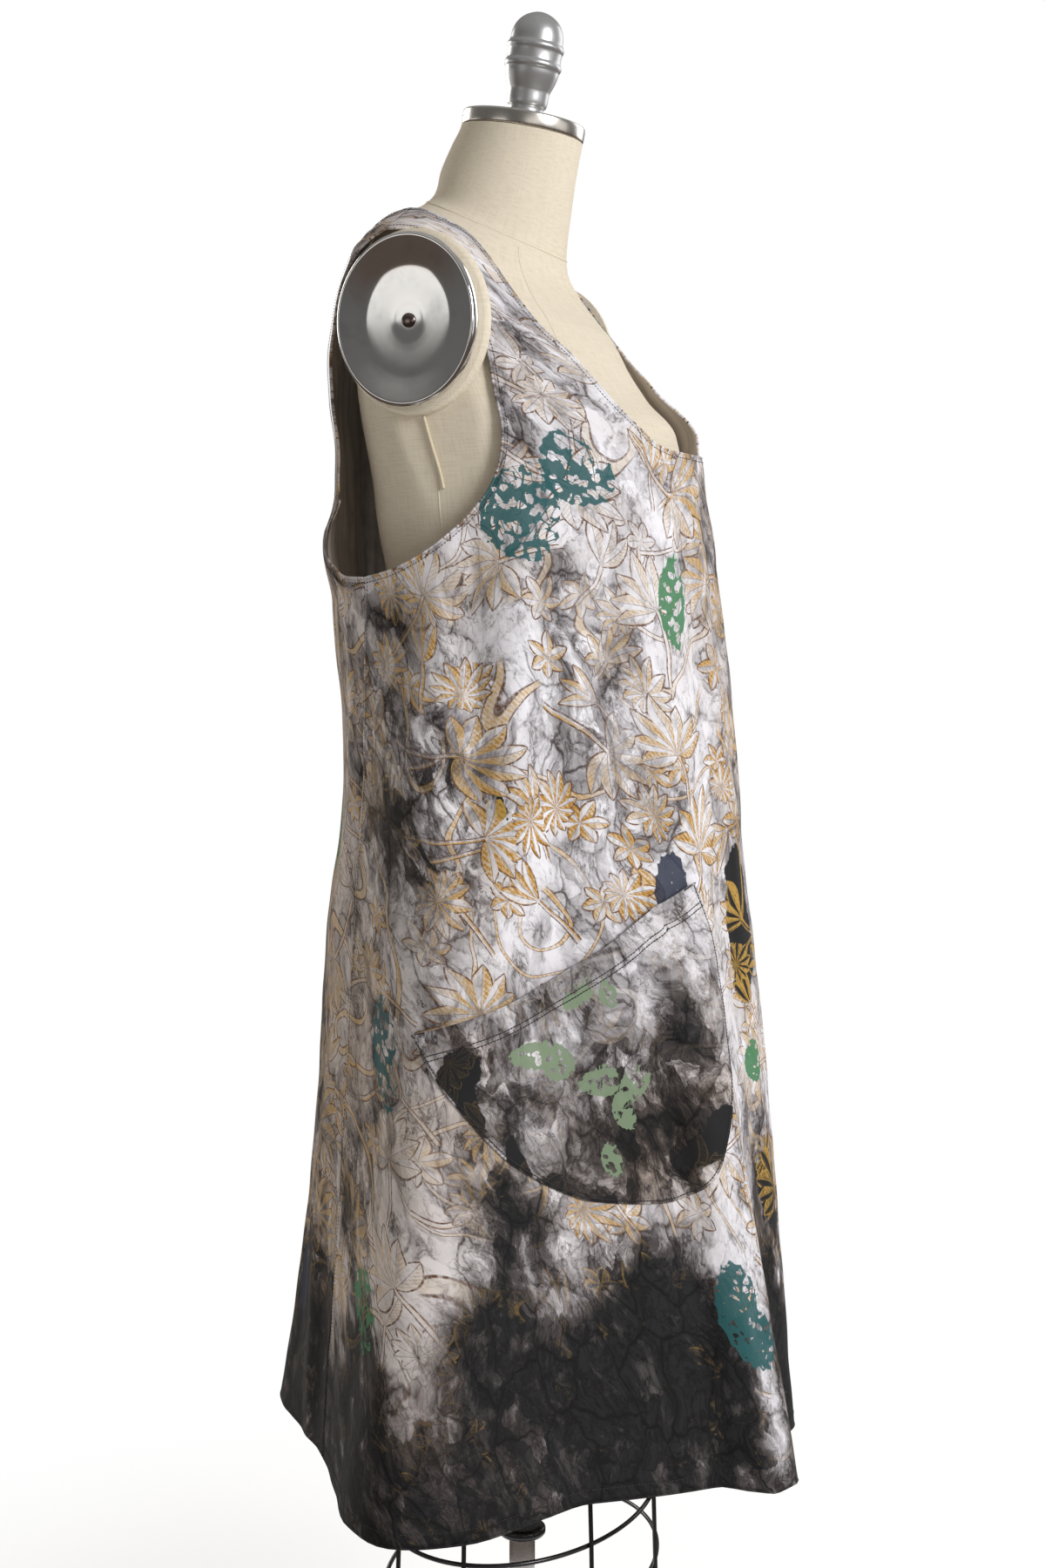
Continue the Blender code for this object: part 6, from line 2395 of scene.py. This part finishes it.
LAMPS = (
    Lamp("key", (-1.3, -3.2, 2.5), (0.0, 0.0, 1.15), 1.6, 103.0, (1.0, 0.995, 1.0)),
    Lamp("fill", (-2.8, 1.8, 1.9), (0.0, 0.0, 1.1), 2.4, 2.5, (1.0, 0.9, 0.78), mirrored=False),
    Lamp("back", (1.6, 3.0, 2.3), (0.0, 0.0, 1.15), 1.8, 42.0, (1.0, 0.96, 0.91)),
    Lamp("left_rim", (2.6, -1.4, 2.4), (0.0, 0.0, 1.1), 2.0, 22.0, (0.98, 0.99, 1.0)),
)


@dataclass
class Studio:
    """The pale floor, the soft light and the camera."""

    world_level: float = 0.3
    shadow_reach: tuple = (0.45, 1.15)   # from the middle, where the floor's shadow starts to fade and ends
    floor_lit: float = 0.62              # how much of the near floor is lit by the lamps
    floor_glow: float = 0.525            # how much of it shines by itself

    def build(self) -> None:
        """Make the world, the floor, the reflector, the lamps and the camera."""
        bpy.context.scene.view_settings.view_transform = "Standard"
        self.light_world()
        self.lay_floor()
        self.stand_reflector()
        for lamp in LAMPS:
            lamp.hang()
        self.place_camera()

    @staticmethod
    def seen_directly(g: Graph) -> Wire:
        """Return 1 for rays that see, mirror or pass through to a surface, else 0."""
        path = g.wires("ShaderNodeLightPath")
        return g.clamped(path["Is Camera Ray"] + path["Is Glossy Ray"] + path["Is Transmission Ray"])

    def light_world(self) -> None:
        """Make the world white where it is seen and plain soft light elsewhere."""
        world = bpy.context.scene.world = bpy.data.worlds.new("studio")
        g = blank_tree(world)
        # The soft world light is warm, which warms the shaded side.
        warm = {"Color": (1.0, 0.942, 0.868, 1.0), "Strength": self.world_level}
        soft = g.wire("ShaderNodeBackground", warm)
        white = g.wire("ShaderNodeBackground", {"Color": WHITE, "Strength": 1.0})
        both = g.wire("ShaderNodeMixShader", {0: self.seen_directly(g), 1: soft, 2: white})
        g.node("ShaderNodeOutputWorld", {0: both})

    def lay_floor(self) -> None:
        """Make the pale floor, which keeps the object's shadow."""
        bpy.ops.mesh.primitive_plane_add(size=16.0, location=(0.0, 0.0, -0.0005))
        floor = bpy.context.object
        floor.name = "floor"
        material = bpy.data.materials.new("pale_floor")
        g = blank_tree(material)
        # Near the object the seen floor is part lit, so that its shadow shows; far off it is plain white.
        reach = g.length(g.place())
        lit = g.ramp(reach, *self.shadow_reach, self.floor_lit, 0.0)
        seen = self.seen_directly(g)
        grey = g.mix(seen, (0.9, 0.9, 0.9), g.wire("ShaderNodeCombineColor", {0: lit, 1: lit, 2: lit}))
        plain = g.wire("ShaderNodeBsdfDiffuse", {"Color": grey})
        level = seen * g.ramp(reach, *self.shadow_reach, self.floor_glow, 1.0)
        glow = g.wire("ShaderNodeEmission", {"Color": WHITE, "Strength": level})
        g.node("ShaderNodeOutputMaterial", {0: g.wire("ShaderNodeAddShader", {0: plain, 1: glow})})
        floor.data.materials.append(material)
        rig.stage(floor)

    @staticmethod
    def stand_reflector() -> None:
        """Stand a round dim wall with bright windows about the set, for the metals alone."""
        rings = turned_rings(WALL, 96, UPRIGHT)
        faces = ring_faces(np.arange(rings[..., 0].size).reshape(rings.shape[:2])[::-1], ends=False)
        material = bpy.data.materials.new("dim_wall")
        g = blank_tree(material)
        x, y, z = g.split(g.place())
        # The windows stand round the wall, each with soft jambs.
        phase = (g.math("ARCTAN2", y, x) + WINDOW_TURN) * (WINDOWS / (2.0 * math.pi))
        wide = g.ramp(abs(g.math("FRACT", phase) - 0.5), 0.18, 0.23, 1.0, 0.0)
        tall = g.ramp(z, 0.75, 1.0) * g.ramp(z, 1.94, 2.06, 1.0, 0.0)
        shade = g.ramp(z, 0.0, 3.6, 0.115, 0.14) + g.ramp(z, 3.4, 4.9, 0.0, 0.22)
        tint = g.mix(g.ramp(z, 0.1, 1.6), (0.84, 0.64, 0.54), (1.0, 0.985, 0.96))
        shine = g.wire("ShaderNodeEmission", {"Color": tint, "Strength": wide * tall * 0.95 + shade})
        g.node("ShaderNodeOutputMaterial", {0: shine})
        wall = make_piece("reflector_wall", rings.reshape(-1, 3), faces, [material])
        for ray in ("camera", "diffuse", "transmission", "volume_scatter", "shadow"):
            setattr(wall, "visible_" + ray, False)
        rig.stage(wall)

    @staticmethod
    def place_camera() -> None:
        """Place the camera a little above the middle of the dress, three quarters round."""
        camera = bpy.data.cameras.new("view")
        camera.sensor_fit = "VERTICAL"
        camera.sensor_height = 24.0
        camera.lens = 32.67
        turn, tip = math.radians(69.0), math.radians(4.3)
        way = Vector((math.sin(turn) * math.cos(tip), math.cos(turn) * math.cos(tip), -math.sin(tip)))
        holder = bpy.data.objects.new("view", camera)
        holder.matrix_world = aimed((-1.867, -0.717, 1.15), way)
        bpy.context.scene.collection.objects.link(holder)
        bpy.context.scene.camera = holder


def main() -> None:
    """Load the frame, build the looks and write the sizes."""
    logging.basicConfig(level=logging.INFO, format="%(name)s: %(message)s")
    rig.load()
    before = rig.bounds()
    printed = botanical_group(scatter_group(), leaf_fan_group())
    groups = ClothGroups(crumple_dye_group(), printed, lace_leaf_group(), weave_group())
    form = Form(
        linen=Linen("cream_linen").material(groups),
        steel=Metal("bright_steel", (0.77, 0.76, 0.745), 0.12, 1.0, 0.05).material(),
        brushed=Metal("brushed_steel", (0.66, 0.63, 0.58), 0.27, 1.0, 0.05).material(),
        silver=Metal("silver_enamel", (0.49, 0.495, 0.5), 0.36, 0.75, 0.04, 0.00015).material(),
        black=Metal("black_enamel", (0.015, 0.015, 0.017), 0.28, 0.0, 0.06, 0.0, 0.3).material(),
        screw=Metal("screw_steel", (0.22, 0.17, 0.155), 0.22, 1.0, 0.05).material(),
        cord=Fibre("cotton_cord", (0.8, 0.73, 0.57), (0.64, 0.55, 0.4)).material(),
    )
    form.build()
    thread = Fibre("black_thread", (0.02, 0.019, 0.021), (0.05, 0.047, 0.05)).material()
    dress = Dress(bvh_of(form.torso), StitchTree(thread), groups)
    dress.build()
    dress.declare(form.torso)
    Studio().build()

    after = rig.bounds()
    sizes = {"frame": [list(corner) for corner in before], "model": [list(corner) for corner in after]}
    Path("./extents.json").write_text(json.dumps(sizes))
    LOG.info("bounds before %s and after %s", before, after)


if __name__ == "__main__":
    main()
